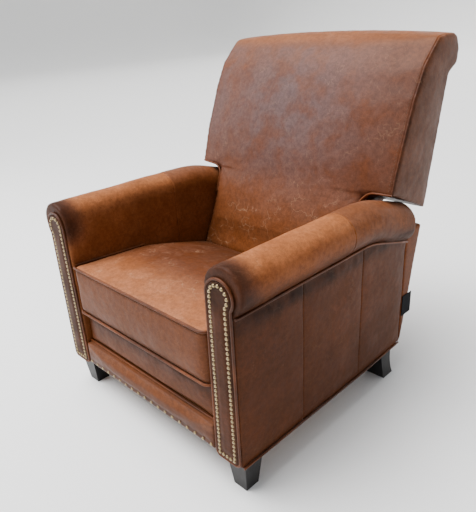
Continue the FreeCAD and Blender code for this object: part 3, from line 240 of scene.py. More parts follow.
# Oil-tempered wire: dark blue-grey, slightly oily.
spring_wire, tree, shader, place = material_tree("oil_tempered_wire", Metallic=1.0, Roughness=0.38)
scale_marks = add(tree, "ShaderNodeTexNoise", {"Vector": place, "Scale": WIRE_MARKS, "Detail": 4.0})
temper = add(tree, "ShaderNodeMix", {0: scale_marks.outputs[0], 6: linear(SPRING_BLUE),
                                     7: linear(POWDER_WORN)}, data_type="RGBA")
tree.links.new(temper.outputs[2], shader.inputs["Base Color"])
coat(["seat_springs"], spring_wire)

# Woven elastic: black ribs across the strap, a little grey where the rubber shows between them.
elastic_web, tree, shader, place = material_tree("woven_elastic", Specular_IOR_Level=0.2, Roughness=0.9)
ribs = add(tree, "ShaderNodeTexWave", {"Vector": place, "Scale": 1 / STRAP_RIB, "Distortion": 0.4},
           bands_direction="X")
woven = add(tree, "ShaderNodeMix", {0: ribs.outputs[0], 6: linear(STRAP_BLACK), 7: linear(STRAP_GREY)},
            data_type="RGBA")
tree.links.new(woven.outputs[2], shader.inputs["Base Color"])
relief = add(tree, "ShaderNodeBump", {"Height": ribs.outputs[0], "Strength": 0.6, "Distance": 0.5 * MM})
tree.links.new(relief.outputs[0], shader.inputs["Normal"])
coat(["back_webbing"], elastic_web)

# ------------------------------------------------------------------ arms
# Foam and wadding over the arm frames, covered in waxed sheepskin: a padded panel each side, and over
# it a round roll that runs level, then droops to the rear. The skins are joined by flat seams: two
# down the outside, and one round the roll and down the inside.
# the tan also paints highlight on lit tops and edges, the dark also paints shade, and the bloom also
# paints a sheen
HIDE, HIDE_DEEP, HIDE_TAN = "#6b3716", "#43200a", "#a5653d"
HIDE_DARK, HIDE_BLOOM_AND_SHEEN, HIDE_SCUFF = "#230f03", "#664f4c", "#b48c6c"
PATCH, CLOUD, MOTTLE, PORE = 230 * MM, 75 * MM, 11 * MM, 2.6 * MM
CRINKLE, SCRATCH = 14 * MM, 60 * MM
ARM_VOXEL, ARM_ROUNDING = 4 * MM, 16
PANEL_INNER, PANEL_OUTER = 286 * MM, 373 * MM
PANEL_SWELL, SWELL_REACH, PANEL_FOOT = 3.5 * MM, 28 * MM, 97 * MM
# a wave and a ripple of the stuffing, each by its height, its length and the number that shifts it
ARM_WAVE, ARM_RIPPLE = (1.3 * MM, 75 * MM, 3.1), (0.5 * MM, 18 * MM, 8.3)
ROLL_HEIGHT, BEND_START, BEND, DROOP = 551.5 * MM, 20 * MM, 300 * MM, math.radians(16)
ROLL_FOOT = 497 * MM
OUTER_SEAMS, ROLL_SEAM = (21 * MM, -228 * MM), -58 * MM
OUTER_SKIN_X, INNER_SKIN_X, OUTER_SEAM_TOP, ROLL_SEAM_FOOT = 362 * MM, 300 * MM, 54 * MM, 52 * MM
SEAM_WIDTH, SEAM_DEPTH, SEAM_SHARPNESS = 2.6 * MM, 1.7 * MM, 2.5
SEAM_CUTS = (-1.5, -0.6, 0.0, 0.6, 1.5)
REAR_CORNER_Y, REAR_CORNER_Z = 217 * MM, 127 * MM
WELD = 0.02 * MM


def leather(name, deep_share, tan_share, gloss=0.07):
    """Waxed sheepskin: cloudy brown dye over a tanned skin, pores, crinkles and pale scratches.

    Four attributes of a piece, each from 0 to 1, say how it has aged and where light is painted: one
    places the tan, where the skin is worn and as a painted highlight on lit tops and edges; one the
    dark, for stained noses and edges and as painted shade on faces turned from the light, under
    overhangs and on undersides; one the grey wax bloom, which also paints a sheen; and one the net of
    fine stretch lines.
    """
    made, tree, shader, place = material_tree(name, Specular_IOR_Level=gloss)
    patches, clouds, mottle, crinkle = (
        add(tree, "ShaderNodeTexNoise", {"Vector": place, "Scale": 1 / size, "Detail": detail,
                                         "Roughness": roughness, "Distortion": 0.3}).outputs[0]
        for size, detail, roughness in ((PATCH, 2.0, 0.5), (CLOUD, 5.0, 0.62), (MOTTLE, 4.0, 0.65),
                                        (CRINKLE, 4.0, 0.62)))
    # stretch lines are the edges of bent cells, and pores are dark specks, coarse so that they show
    bent = add(tree, "ShaderNodeTexNoise", {"Vector": place, "Scale": 2 / SCRATCH, "Detail": 2.0})
    swayed = add(tree, "ShaderNodeMix", {0: 0.05, 4: place, 5: bent.outputs[1]}, data_type="VECTOR")
    net = add(tree, "ShaderNodeTexVoronoi", {"Vector": swayed.outputs[1], "Scale": 1 / SCRATCH},
              feature="DISTANCE_TO_EDGE").outputs[0]
    pores = add(tree, "ShaderNodeTexVoronoi", {"Vector": place, "Scale": 1 / PORE}).outputs[0]
    # each pattern, the part of it that is spread out, and what it is spread to
    deep, tanned, rubbed, bloom_and_sheen_clouds, stain_and_shade_clouds, thin, broken, speck, shade, dull = (
        add(tree, "ShaderNodeMapRange", {"Value": pattern, "From Min": low, "From Max": high,
                                         "To Min": least, "To Max": most},
            interpolation_type="SMOOTHSTEP").outputs[0]
        for pattern, low, high, least, most in (
            (patches, 0.36, 0.66, 0.0, deep_share),
            (clouds, 0.44, 0.72, 0.0, tan_share),
            # clouds of the tan that marks rubbed wear and painted highlight
            (clouds, 0.25, 0.65, 0.55, 1.0),
            (clouds, 0.3, 0.62, 0.35, 1.0),
            (clouds, 0.3, 0.7, 0.65, 1.0),
            (net, 0.0, 0.02, 1.0, 0.0),
            (clouds, 0.44, 0.6, 0.0, 1.0),
            (pores, 0.1, 0.8, 0.95, 0.78),
            (mottle, 0.3, 0.7, 0.88, 1.24),
            (clouds, 0.3, 0.7, 0.38, 0.52)))
    lines = add(tree, "ShaderNodeMath", {0: thin, 1: broken}, operation="MULTIPLY").outputs[0]
    # layers of dye, age and painted light; an attribute's strength and its least share place the
    # marked ones: the tan for wear and painted highlight, the bloom for wax bloom and painted sheen, and
    # the dark for stains and painted shade
    colour = linear(HIDE)
    for layer, where, word, strength, least in (
            (HIDE_DEEP, deep, None, 0.0, 0.0), (HIDE_TAN, tanned, None, 0.0, 0.0),
            (HIDE_TAN, rubbed, "wear_and_highlight", 1.0, 0.0), (HIDE_BLOOM_AND_SHEEN, bloom_and_sheen_clouds, "bloom_and_sheen", 1.0, 0.0),
            (HIDE_DARK, stain_and_shade_clouds, "dark", 1.0, 0.0), (HIDE_SCUFF, lines, "crease", 0.5, 0.05)):
        if word:
            aged = add(tree, "ShaderNodeAttribute", attribute_name=word)
            share = add(tree, "ShaderNodeMath", {0: aged.outputs["Fac"], 1: strength, 2: least},
                        operation="MULTIPLY_ADD", use_clamp=True)
            where = add(tree, "ShaderNodeMath", {0: share.outputs[0], 1: where}, operation="MULTIPLY",
                        use_clamp=True).outputs[0]
        colour = add(tree, "ShaderNodeMix", {0: where, 6: colour, 7: linear(layer)},
                     data_type="RGBA").outputs[2]
    light = add(tree, "ShaderNodeMath", {0: speck, 1: shade}, operation="MULTIPLY")
    hide = add(tree, "ShaderNodeVectorMath", {0: colour, "Scale": light.outputs[0]}, operation="SCALE")
    folds = add(tree, "ShaderNodeBump", {"Height": crinkle, "Strength": 0.25, "Distance": 1.6 * MM})
    pebble = add(tree, "ShaderNodeBump", {"Height": pores, "Strength": 0.22, "Distance": 0.5 * MM,
                                          "Normal": folds.outputs[0]}, invert=True)
    tree.links.new(hide.outputs[0], shader.inputs["Base Color"])
    tree.links.new(dull, shader.inputs["Roughness"])
    tree.links.new(pebble.outputs[0], shader.inputs["Normal"])
    return made


def soft_copy(name, words, voxel, plugs=()):
    """A watertight copy of fitted solids in small even faces; plugs are boxes that close their hollows."""
    copies = [bpy.data.objects.new(name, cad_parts[word].data.copy()) for word in words]
    for one in copies:
        bpy.context.scene.collection.objects.link(one)
    for low, high in plugs:
        low, high = Vector(low), Vector(high)
        bpy.ops.object.select_all(action="DESELECT")
        bpy.ops.mesh.primitive_cube_add(size=1, location=(low + high) / 2, scale=high - low)
        copies.append(bpy.context.object)
        bpy.ops.object.transform_apply()
    bpy.ops.object.select_all(action="DESELECT")
    for one in copies:
        one.select_set(True)
    piece = copies[0]
    bpy.context.view_layer.objects.active = piece
    if len(copies) > 1:
        bpy.ops.object.join()
    piece.name = name
    piece.data.materials.clear()
    bpy.ops.object.mode_set(mode="EDIT")
    bpy.ops.mesh.select_all(action="SELECT")
    bpy.ops.mesh.remove_doubles(threshold=WELD)
    bpy.ops.object.mode_set(mode="OBJECT")
    even = piece.modifiers.new("Even faces", "REMESH")
    even.mode = "VOXEL"
    even.voxel_size = voxel
    bpy.ops.object.modifier_apply(modifier=even.name)
    return piece


def places(piece):
    """All vertex places of a piece as an array."""
    flat = np.empty(3 * len(piece.data.vertices))
    piece.data.vertices.foreach_get("co", flat)
    return flat.reshape(-1, 3)


def put(piece, spots):
    """Moves all vertices of a piece."""
    piece.data.vertices.foreach_set("co", spots.ravel())
    piece.data.update()


def normals(piece):
    """All vertex normals of a piece as an array."""
    flat = np.empty(3 * len(piece.data.vertices), dtype=np.float32)
    piece.data.vertex_normals.foreach_get("vector", flat)
    return flat.reshape(-1, 3).astype(float)


def group(piece, word, weights):
    """A vertex group that holds one weight for each vertex."""
    made = piece.vertex_groups.new(name=word)
    for index in np.flatnonzero(weights > 0.004):
        made.add([int(index)], float(weights[index]), "REPLACE")
    return made


def ease(piece, rounds, where=None):
    """Relaxes the surface, so that its edges become round; where gives each vertex its share."""
    relax = piece.modifiers.new("Ease", "SMOOTH")
    relax.factor = 0.5
    relax.iterations = rounds
    if where is not None:
        relax.vertex_group = group(piece, "ease", where).name
    alone(piece)
    bpy.ops.object.modifier_apply(modifier=relax.name)
    piece.vertex_groups.clear()


def ramp(values, low, high):
    """0 up to low, 1 from high on, and smooth between them."""
    share = np.clip((values - low) / (high - low), 0, 1)
    return share * share * (3 - 2 * share)


def uneven(piece, height, length, seed, share=1.0):
    """The slight unevenness of stuffing under a skin: swells along the normals."""
    spots = places(piece)
    offset = Vector((seed, 2.7 * seed, 5.1 * seed))
    swell = np.array([noise.noise(Vector(spot) / length + offset) for spot in spots])
    put(piece, spots + normals(piece) * (height * swell * share)[:, None])


def choose(piece, chosen):
    """Selects the chosen vertices, and the edges and faces that lie all between them."""
    mesh = piece.data
    alone(piece)
    ends = np.empty(2 * len(mesh.edges), dtype=np.int32)
    mesh.edges.foreach_get("vertices", ends)
    corners, starts = (np.empty(len(many), dtype=np.int32) for many in (mesh.loops, mesh.polygons))
    mesh.loops.foreach_get("vertex_index", corners)
    mesh.polygons.foreach_get("loop_start", starts)
    mesh.vertices.foreach_set("select", chosen)
    mesh.edges.foreach_set("select", chosen[ends].reshape(-1, 2).all(axis=1))
    mesh.polygons.foreach_set("select", np.logical_and.reduceat(chosen[corners], starts))


def seam(piece, point, direction, inside):
    """A sewn valley where a plane crosses the part of a piece that inside() picks."""
    point, direction = Vector(point), Vector(direction).normalized()
    for shift in SEAM_CUTS:
        spots = places(piece)
        away = np.abs((spots - np.array(point)) @ np.array(direction))
        choose(piece, (away < 4 * SEAM_WIDTH + ARM_VOXEL) & inside(spots))
        bpy.ops.object.mode_set(mode="EDIT")
        bpy.ops.mesh.bisect(plane_co=point + direction * shift * SEAM_WIDTH, plane_no=direction,
                            threshold=1e-6)
        bpy.ops.object.mode_set(mode="OBJECT")
    spots = places(piece)
    away = np.abs((spots - np.array(point)) @ np.array(direction)) / SEAM_WIDTH
    valley = np.where(inside(spots), np.exp(-SEAM_SHARPNESS * away ** 2), 0)
    put(piece, spots - normals(piece) * (SEAM_DEPTH * valley)[:, None])


def mark(piece, word, values):
    """Stores a number from 0 to 1 on each vertex for the leather to read."""
    stored = piece.data.attributes.new(word, "FLOAT", "POINT")
    stored.data.foreach_set("value", np.clip(values, 0, 1).astype(np.float32))


def roll_centre(y):
    """Height of the roll's middle line at each y: level, then a bend, then a straight droop."""
    run = np.clip(y - BEND_START, 0, BEND * math.sin(DROOP))
    rest = np.clip(y - BEND_START - BEND * math.sin(DROOP), 0, None)
    return ROLL_HEIGHT - (BEND - np.sqrt(BEND ** 2 - run ** 2)) - rest * math.tan(DROOP)


def round_rear_corner(spots, share=1.0):
    """Turns the square lower rear corner of the arms and the rear shell into a round one."""
    reach = spots[:, 1:] - np.array((REAR_CORNER_Y, REAR_CORNER_Z))
    length = np.maximum(np.hypot(reach[:, 0], reach[:, 1]), 1e-6)
    square = np.abs(reach).max(axis=1)
    inside = (reach[:, 0] > 0) & (reach[:, 1] < 0)
    turn = np.where(inside, (square / length - 1) * share, 0)
    spots[:, 1:] += reach * turn[:, None]
    return spots


def cover_arm(side, sign):
    """Makes one arm; sign is 1 for the sitter's left."""
    low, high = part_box(f"arm_{side}")
    across = sorted((sign * PANEL_INNER, sign * PANEL_OUTER))
    arm = soft_copy(f"arm_cover_{side}", [f"arm_{side}"], ARM_VOXEL,
                    [((across[0], low.y, low.z), (across[1], high.y, low.z + 2 * ARM_VOXEL))])
    spots = places(arm)
    nose = ramp(-spots[:, 1], 400 * MM, 430 * MM) * ramp(spots[:, 2], 460 * MM, 500 * MM)
    ease(arm, ARM_ROUNDING, np.clip(0.22 + nose, 0, 1))
    spots, out = places(arm), normals(arm)
    # the stuffing swells the outer panel between its seams
    x, y, z = abs(spots[:, 0]), spots[:, 1], spots[:, 2]
    to_seam = np.min([abs(y - s) for s in (low.y, high.y) + OUTER_SEAMS], axis=0)
    outward = np.clip(out[:, 0] * sign, 0, 1) * ramp(-z, -ROLL_FOOT, -470 * MM)
    puff = outward * (1 - np.exp(-to_seam / SWELL_REACH)) * ramp(z, PANEL_FOOT, 150 * MM) * PANEL_SWELL
    spots[:, 0] += sign * puff
    put(arm, round_rear_corner(spots))
    for height, length, seed in (ARM_WAVE, ARM_RIPPLE):
        uneven(arm, height, length, seed + sign)
    for y_seam in OUTER_SEAMS:
        seam(arm, (0, y_seam, 0), (0, 1, 0),
             lambda s: (s[:, 0] * sign > OUTER_SKIN_X) & (s[:, 2] < roll_centre(s[:, 1]) - OUTER_SEAM_TOP))
    seam(arm, (0, ROLL_SEAM, 0), (0, 1, 0),
         lambda s: (s[:, 0] * sign < INNER_SKIN_X) | (s[:, 2] > roll_centre(s[:, 1]) - ROLL_SEAM_FOOT))
    spots = places(arm)
    x, y, z = abs(spots[:, 0]), spots[:, 1], spots[:, 2]
    nose = ramp(-y, 375 * MM, 445 * MM) * ramp(z, 470 * MM, 540 * MM)
    under = ramp(roll_centre(y) - z, -12 * MM, 40 * MM) * ramp(z, 440 * MM, 492 * MM) * (x > 350 * MM)
    tail = ramp(y, 150 * MM, 245 * MM) * ramp(z, 380 * MM, 480 * MM)
    outside = ramp(x, 350 * MM, 366 * MM) * ramp(-z, -ROLL_FOOT, -480 * MM)
    behind = ramp(y, ROLL_SEAM, ROLL_SEAM + 4 * MM) * ramp(z, 470 * MM, 500 * MM)
    top = ramp(z - roll_centre(y), 20 * MM, 50 * MM)
    # Painted shade darkens the outer panel, which faces away from the light, the strip under the roll's
    # overhang, and all other faces towards the bottom; the lower front of the roll, its rear and the top
    # behind the seam are darker too. The tan on the roll's top and on the faces other than the outer panel
    # is wear and painted highlight, and the bloom on the nose and on the top behind the seam is wax bloom
    # and painted sheen.
    mark(arm, "dark", 0.85 * nose + 0.7 * under + 0.3 * tail + 0.2 * behind + 0.62 * outside
         + 0.3 * ramp(-z, -420 * MM, -300 * MM) * (1 - outside))
    mark(arm, "wear_and_highlight", (1 - nose) * (0.6 * top * (1 - 0.6 * behind) + 0.3 * (1 - outside) * (1 - under)))
    mark(arm, "bloom_and_sheen", 0.3 * nose + 0.25 * behind * top)
    mark(arm, "crease", 0.3 * top * (1 - nose))
    alone(arm)
    bpy.ops.object.shade_smooth()
    arm.data.materials.append(arm_leather)
    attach(arm, "base")
    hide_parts(f"arm_{side}")


arm_leather = leather("waxed_sheepskin_arms", deep_share=0.5, tan_share=0.14)
for side, sign in (("left", 1), ("right", -1)):
    cover_arm(side, sign)

# Piping of darker strips of the same skin lies under each roll and along the hem of the outer panel;
# it follows the rounded rear corner.
welt_leather = leather("waxed_sheepskin_welt", deep_share=1.0, tan_share=0.0, gloss=0.2)
for side in ("left", "right"):
    hem = bpy.data.objects.new(f"arm_hem_{side}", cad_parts[f"arm_piping_{side}"].data.copy())
    bpy.context.scene.collection.objects.link(hem)
    hem.data.materials.clear()
    hem.data.materials.append(welt_leather)
    alone(hem)
    bpy.ops.object.mode_set(mode="EDIT")
    bpy.ops.mesh.select_all(action="SELECT")
    bpy.ops.mesh.remove_doubles(threshold=WELD)
    bpy.ops.mesh.subdivide(number_cuts=3)
    bpy.ops.object.mode_set(mode="OBJECT")
    put(hem, round_rear_corner(places(hem)))
    bpy.ops.object.shade_smooth()
    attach(hem, "base")
    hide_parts(f"arm_piping_{side}")

# ------------------------------------------------------------------ arm fronts
# A keyhole-shaped padded board closes each arm. Its skin is wrapped round it, edged with a self welt
# and close-nailed all round with small domed nails of antiqued brass.
FACING_VOXEL, FACING_CROWN = 2.6 * MM, 2.2 * MM
FACING_WAVE = (0.5 * MM, 30 * MM, 4.7)
BRASS_BRIGHT, BRASS_OLD, BRASS_DENT = "#c3ad84", "#4a3a22", 3.5 * MM
facing_leather = leather("waxed_sheepskin_fronts", deep_share=0.6, tan_share=0.08)
for side in ("left", "right"):
    low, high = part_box(f"arm_facing_{side}")
    facing = soft_copy(f"arm_front_{side}", [f"arm_facing_{side}"], FACING_VOXEL)
    ease(facing, 5)
    spots = places(facing)
    middle = (low.x + high.x) / 2
    between = 1 - ramp(np.abs(spots[:, 0] - middle), 8 * MM, 24 * MM)
    ends = (ramp(spots[:, 2], low.z + 12 * MM, low.z + 36 * MM)
            * ramp(-spots[:, 2], 40 * MM - high.z, 80 * MM - high.z))
    front = spots[:, 1] < (low.y + high.y) / 2
    spots[:, 1] -= np.where(front, FACING_CROWN * between * ends, 0)
    put(facing, spots)
    uneven(facing, *FACING_WAVE)
    spots = places(facing)
    edge = ramp(np.abs(spots[:, 0] - middle), 20 * MM, 36 * MM)
    # Painted shade darkens the whole front board, as on the other front faces, more towards its top and
    # its edges.
    mark(facing, "dark", 0.82 + 0.35 * ramp(spots[:, 2], 480 * MM, 570 * MM) + 0.15 * edge)
    alone(facing)
    bpy.ops.object.shade_smooth()
    facing.data.materials.append(facing_leather)
    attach(facing, "base")
    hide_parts(f"arm_facing_{side}")
coat(["facing_welt_left", "facing_welt_right"], welt_leather)

# Antiqued brass: pressed, lacquered dark, then rubbed bright on the crowns of the domes.
antique_brass, tree, shader, place = material_tree("antiqued_brass", Metallic=1.0)
dents = add(tree, "ShaderNodeTexNoise", {"Vector": place, "Scale": 1 / BRASS_DENT, "Detail": 3.0})
crown = add(tree, "ShaderNodeNewGeometry")
upward = add(tree, "ShaderNodeSeparateXYZ", {0: crown.outputs["Normal"]})
facing_out = add(tree, "ShaderNodeMapRange", {"Value": upward.outputs["Y"], "From Min": -0.55,
                                              "From Max": -0.95, "To Min": 0.0, "To Max": 0.85})
rub = add(tree, "ShaderNodeMath", {0: facing_out.outputs[0], 1: dents.outputs[0], 2: 0.25},
          operation="MULTIPLY_ADD")
patina = add(tree, "ShaderNodeMix", {0: rub.outputs[0], 6: linear(BRASS_OLD), 7: linear(BRASS_BRIGHT)},
             data_type="RGBA")
tree.links.new(patina.outputs[2], shader.inputs["Base Color"])
lacquer = add(tree, "ShaderNodeMapRange", {"Value": dents.outputs[0], "To Min": 0.22, "To Max": 0.42})
tree.links.new(lacquer.outputs[0], shader.inputs["Roughness"])
coat(["facing_nails_left", "facing_nails_right", "footrest_nails"], antique_brass)

# ------------------------------------------------------------------ rear shell
# A raked board behind the arms, padded thinly and covered in three joined skins; the back swings in
# its hollow. A small folded tape is sewn into the left rear seam.
SHELL_VOXEL, SHELL_SWELL, CELL_REACH = 5 * MM, 3 * MM, 30 * MM
SHELL_WAVE = (1.0 * MM, 80 * MM, 6.1)
SHELL_SEAMS, SHELL_BACK_Y = (-128 * MM, 128 * MM), 268 * MM
TAPE_BLACK, TAPE_GREY, TAPE_WEAVE = "#0e0e10", "#1b1b1e", 8 * MM
shell_leather = leather("waxed_sheepskin_shell", deep_share=0.5, tan_share=0.3)
shell = soft_copy("rear_shell_cover", ["rear_shell"], SHELL_VOXEL)
ease(shell, 5)
spots, out = places(shell), normals(shell)
low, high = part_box("rear_shell")
cells = np.min([np.abs(spots[:, 0] - s) for s in SHELL_SEAMS + (low.x, high.x)], axis=0)
swell = np.clip(out[:, 1], 0, 1) * (1 - np.exp(-cells / CELL_REACH)) * SHELL_SWELL
spots[:, 1] += swell * ramp(spots[:, 2], low.z, low.z + 60 * MM)
put(shell, round_rear_corner(spots, ramp(np.abs(spots[:, 0]), 295 * MM, 345 * MM)))
uneven(shell, *SHELL_WAVE)
for x_seam in SHELL_SEAMS:
    seam(shell, (x_seam, 0, 0), (1, 0, 0), lambda s: s[:, 1] > SHELL_BACK_Y)
mark(shell, "dark", 0.25 + 0.4 * ramp(-places(shell)[:, 2], -200 * MM, -97 * MM))
alone(shell)
bpy.ops.object.shade_smooth()
shell.data.materials.append(shell_leather)
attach(shell, "base")
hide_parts("rear_shell")

# Black cotton tape: a fine plain weave with a soft matt face.
cotton_tape, tree, shader, place = material_tree("black_cotton_tape", Roughness=0.92,
                                                 Specular_IOR_Level=0.15)
threads = add(tree, "ShaderNodeTexWave", {"Vector": place, "Scale": 1 / TAPE_WEAVE, "Distortion": 0.3},
              bands_direction="Z")
cloth = add(tree, "ShaderNodeMix", {0: threads.outputs[0], 6: linear(TAPE_BLACK), 7: linear(TAPE_GREY)},
            data_type="RGBA")
tree.links.new(cloth.outputs[2], shader.inputs["Base Color"])
coat(["side_tab"], cotton_tape)

# ------------------------------------------------------------------ seat
# One thick cushion of sprung foam in waxed sheepskin, boxed in front and edged with a self welt above
# and below. It is crowned by its filling and pulled in at its seams.
SEAT_VOXEL, SEAT_CROWN, CROWN_RISE = 6 * MM, 16 * MM, 130 * MM
SEAT_WAVE, SEAT_RIPPLE = (2.2 * MM, 90 * MM, 1.9), (0.6 * MM, 22 * MM, 7.7)
SIT_Y, SIT_WIDE, SIT_DEEP = -90 * MM, 190 * MM, 150 * MM
TOP_SEAM_Z, BOTTOM_SEAM_Z = (433 * MM, 418 * MM), (290 * MM, 276 * MM)
SEAM_END_Y = -203 * MM
WELT_HOLD, SEAM_PULL = 9 * MM, 2.6 * MM
FILLING_PRESSURE, FILLING_FRAMES = 4.0, 20
TOP_TRAVEL, FRONT_TRAVEL, LEAST_TRAVEL = 26 * MM, 7 * MM, 1.5 * MM


def plump(piece, held, cap, frames=FILLING_FRAMES):
    """Filling swells a cover between the vertices that are held; no point travels past its cap."""
    start = places(piece)
    cloth = piece.modifiers.new("Filling", "CLOTH")
    cloth.settings.vertex_group_mass = group(piece, "held", held).name
    cloth.settings.use_pressure = True
    cloth.settings.uniform_pressure_force = FILLING_PRESSURE
    cloth.settings.effector_weights.gravity = 0
    cloth.settings.tension_stiffness = 25
    cloth.settings.compression_stiffness = 12
    cloth.settings.shear_stiffness = 12
    cloth.settings.bending_stiffness = 1.5
    cloth.point_cache.frame_end = frames
    for step in range(1, frames + 1):
        bpy.context.scene.frame_set(step)
    alone(piece)
    bpy.ops.object.modifier_apply(modifier=cloth.name)
    bpy.context.scene.frame_set(1)
    piece.vertex_groups.clear()
    travel = places(piece) - start
    length = np.linalg.norm(travel, axis=1)
    limit = np.broadcast_to(cap, length.shape)
    share = np.where(length > limit, limit / np.maximum(length, 1e-9), 1)
    put(piece, start + travel * share[:, None])


def finer(piece):
    """Subdivides and smooths a finished soft shape once."""
    smooth = piece.modifiers.new("Finer", "SUBSURF")
    smooth.levels = smooth.render_levels = 1
    alone(piece)
    bpy.ops.object.modifier_apply(modifier=smooth.name)


def far_from(spots, line):
    """Distance of each place from a line through several points."""
    best = np.full(len(spots), np.inf)
    for first, second in zip(line[:-1], line[1:]):
        first, run = np.array(first), np.array(second) - np.array(first)
        share = np.clip((spots - first) @ run / (run @ run), 0, 1)
        best = np.minimum(best, np.linalg.norm(spots - first - share[:, None] * run, axis=1))
    return best


seat_leather = leather("waxed_sheepskin_seat", deep_share=0.3, tan_share=0.14, gloss=0.11)
low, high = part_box("seat_cushion")
seat = soft_copy("seat_cushion_cover", ["seat_cushion"], SEAT_VOXEL)
top_line, bottom_line = (
    [(-high.x, SEAM_END_Y, end_z), (-high.x, low.y, front_z), (high.x, low.y, front_z),
     (high.x, SEAM_END_Y, end_z)] for front_z, end_z in (TOP_SEAM_Z, BOTTOM_SEAM_Z))
spots = places(seat)
away = np.minimum(far_from(spots, top_line), far_from(spots, bottom_line))
ease(seat, 3, ramp(away, WELT_HOLD, 2 * WELT_HOLD))
spots, out = places(seat), normals(seat)
across = 1 - np.abs(spots[:, 0] / high.x) ** 2.4
length = (ramp(spots[:, 1], low.y, low.y + CROWN_RISE)
          * (1 - 0.75 * ramp(spots[:, 1], -120 * MM, high.y)))
spots[:, 2] += SEAT_CROWN * across * length * ramp(out[:, 2], 0.2, 0.7)
put(seat, spots)
held = np.maximum(1 - ramp(away, 5 * MM, 8 * MM),
                  (out[:, 2] < -0.5) | (spots[:, 1] > high.y - 12 * MM))
reach = (TOP_TRAVEL * ramp(out[:, 2], 0.2, 0.8) + FRONT_TRAVEL * ramp(-out[:, 1], 0.3, 0.9)
         + LEAST_TRAVEL)
plump(seat, held, reach)
finer(seat)
uneven(seat, *SEAT_WAVE, ramp(normals(seat)[:, 2], 0.2, 0.7))
uneven(seat, *SEAT_RIPPLE)
spots, out = places(seat), normals(seat)
away = np.minimum(far_from(spots, top_line), far_from(spots, bottom_line))
put(seat, spots - out * (SEAM_PULL * np.exp(-(away / WELT_HOLD) ** 2))[:, None])
spots, out = places(seat), normals(seat)
on_top = ramp(out[:, 2], 0.4, 0.85)
middle = np.exp(-(spots[:, 0] / SIT_WIDE) ** 2 - ((spots[:, 1] - SIT_Y) / SIT_DEEP) ** 2)
# On top the middle is darker and the top darkens towards the back; the front and sides are painted darker
# as shade, more towards the bottom. The tan on the front of the top and on its sides is wear and painted
# highlight, and the bloom on the top is wax bloom and painted sheen.
mark(seat, "dark", on_top * (0.5 * middle + 0.35 * ramp(spots[:, 1], -120 * MM, 20 * MM))
     + 0.42 * (1 - on_top) + 0.2 * (1 - on_top) * ramp(-spots[:, 2], -330 * MM, -285 * MM))
mark(seat, "wear_and_highlight", on_top * (0.95 * ramp(-spots[:, 1], 250 * MM, 420 * MM)
                             + 0.25 * ramp(np.abs(spots[:, 0]), 150 * MM, 260 * MM))
     + 0.12 * (1 - on_top))
mark(seat, "bloom_and_sheen", 0.18 * on_top)
mark(seat, "crease", 0.6 * on_top)
alone(seat)
bpy.ops.object.shade_smooth()
seat.data.materials.append(seat_leather)
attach(seat, "seat")
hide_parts("seat_cushion")
coat(["seat_top_welt", "seat_bottom_welt"], welt_leather)

# ------------------------------------------------------------------ footrest
# A plywood board with a thin padded panel above and a thicker padded band below, a self welt between
# them and one row of brass nails along the lower edge. It swings out and up from under the seat.
PAD_VOXEL, PAD_TRAVEL, PAD_FRAMES = 4 * MM, 6 * MM, 12
PAD_WAVE, PAD_RIPPLE = (1.4 * MM, 60 * MM, 2.3), (0.5 * MM, 16 * MM, 9.1)
NAIL_LINE = 115 * MM
for word in ("footrest_pad", "footrest_band"):
    low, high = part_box(word)
    pad = soft_copy(word + "_cover", [word], PAD_VOXEL)
    ease(pad, 5)
    spots, out = places(pad), normals(pad)
    rim = spots[:, 1] > high.y - 5 * MM
    if word == "footrest_band":
        rim |= spots[:, 2] < NAIL_LINE + 8 * MM
    plump(pad, np.where(rim, 1.0, 0.0), PAD_TRAVEL * ramp(-out[:, 1], 0.1, 0.9) + 0.4 * MM, PAD_FRAMES)
    uneven(pad, *PAD_WAVE)
    uneven(pad, *PAD_RIPPLE)
    spots = places(pad)
    # The panel is painted darker as shade, most at its top under the seat cushion, and is lighter towards
    # its bottom; the band is painted darker as shade, more towards its bottom, and its rounded top gets
    # tan and bloom as a painted highlight.
    if word == "footrest_pad":
        mark(pad, "dark", 0.55 + 0.35 * ramp(spots[:, 2], low.z + 0.4 * (high.z - low.z), high.z))
        mark(pad, "wear_and_highlight", 0.2 * ramp(-spots[:, 2], -225 * MM, -190 * MM))
    else:
        mark(pad, "dark", 0.5 + 0.3 * ramp(-spots[:, 2], -140 * MM, -110 * MM))
        mark(pad, "wear_and_highlight", 0.5 * ramp(spots[:, 2], 145 * MM, 168 * MM))
        mark(pad, "bloom_and_sheen", 0.25 * ramp(spots[:, 2], 150 * MM, 170 * MM))
    alone(pad)
    bpy.ops.object.shade_smooth()
    pad.data.materials.append(seat_leather)
    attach(pad, "footrest")
    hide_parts(word)
coat(["footrest_welt"], welt_leather)

# ------------------------------------------------------------------ back
# Two shaped posts and three rails carry a deep cushion in front and a thin pad behind, under one
# cover of waxed sheepskin. A narrow stem stands between the arms; above them it widens into wings
# over the arms and ends in a scroll. The boxing each side is joined by a topstitched seam.
BACK_VOXEL, BACK_CROWN, BACK_TRAVEL, BOXING_TRAVEL = 7 * MM, 14 * MM, 12 * MM, 5 * MM
BACK_WAVE, BACK_RIPPLE = (2.4 * MM, 110 * MM, 5.9), (0.6 * MM, 24 * MM, 3.3)
STEM_HALF, WING_CORNER, WING_FOOT = 281 * MM, 46 * MM, 600 * MM
BLOOM_AND_SHEEN_X, BLOOM_AND_SHEEN_Z, BLOOM_AND_SHEEN_WIDE, BLOOM_AND_SHEEN_HIGH = -40 * MM, 800 * MM, 290 * MM, 200 * MM
HEAD_FILL, HEAD_Z, HEAD_SPREAD, TOP_FALL = 13 * MM, 925 * MM, 48 * MM, 13 * MM
SHELL_CLEAR_Y, BOXING_SEAM = 232 * MM, 367 * MM
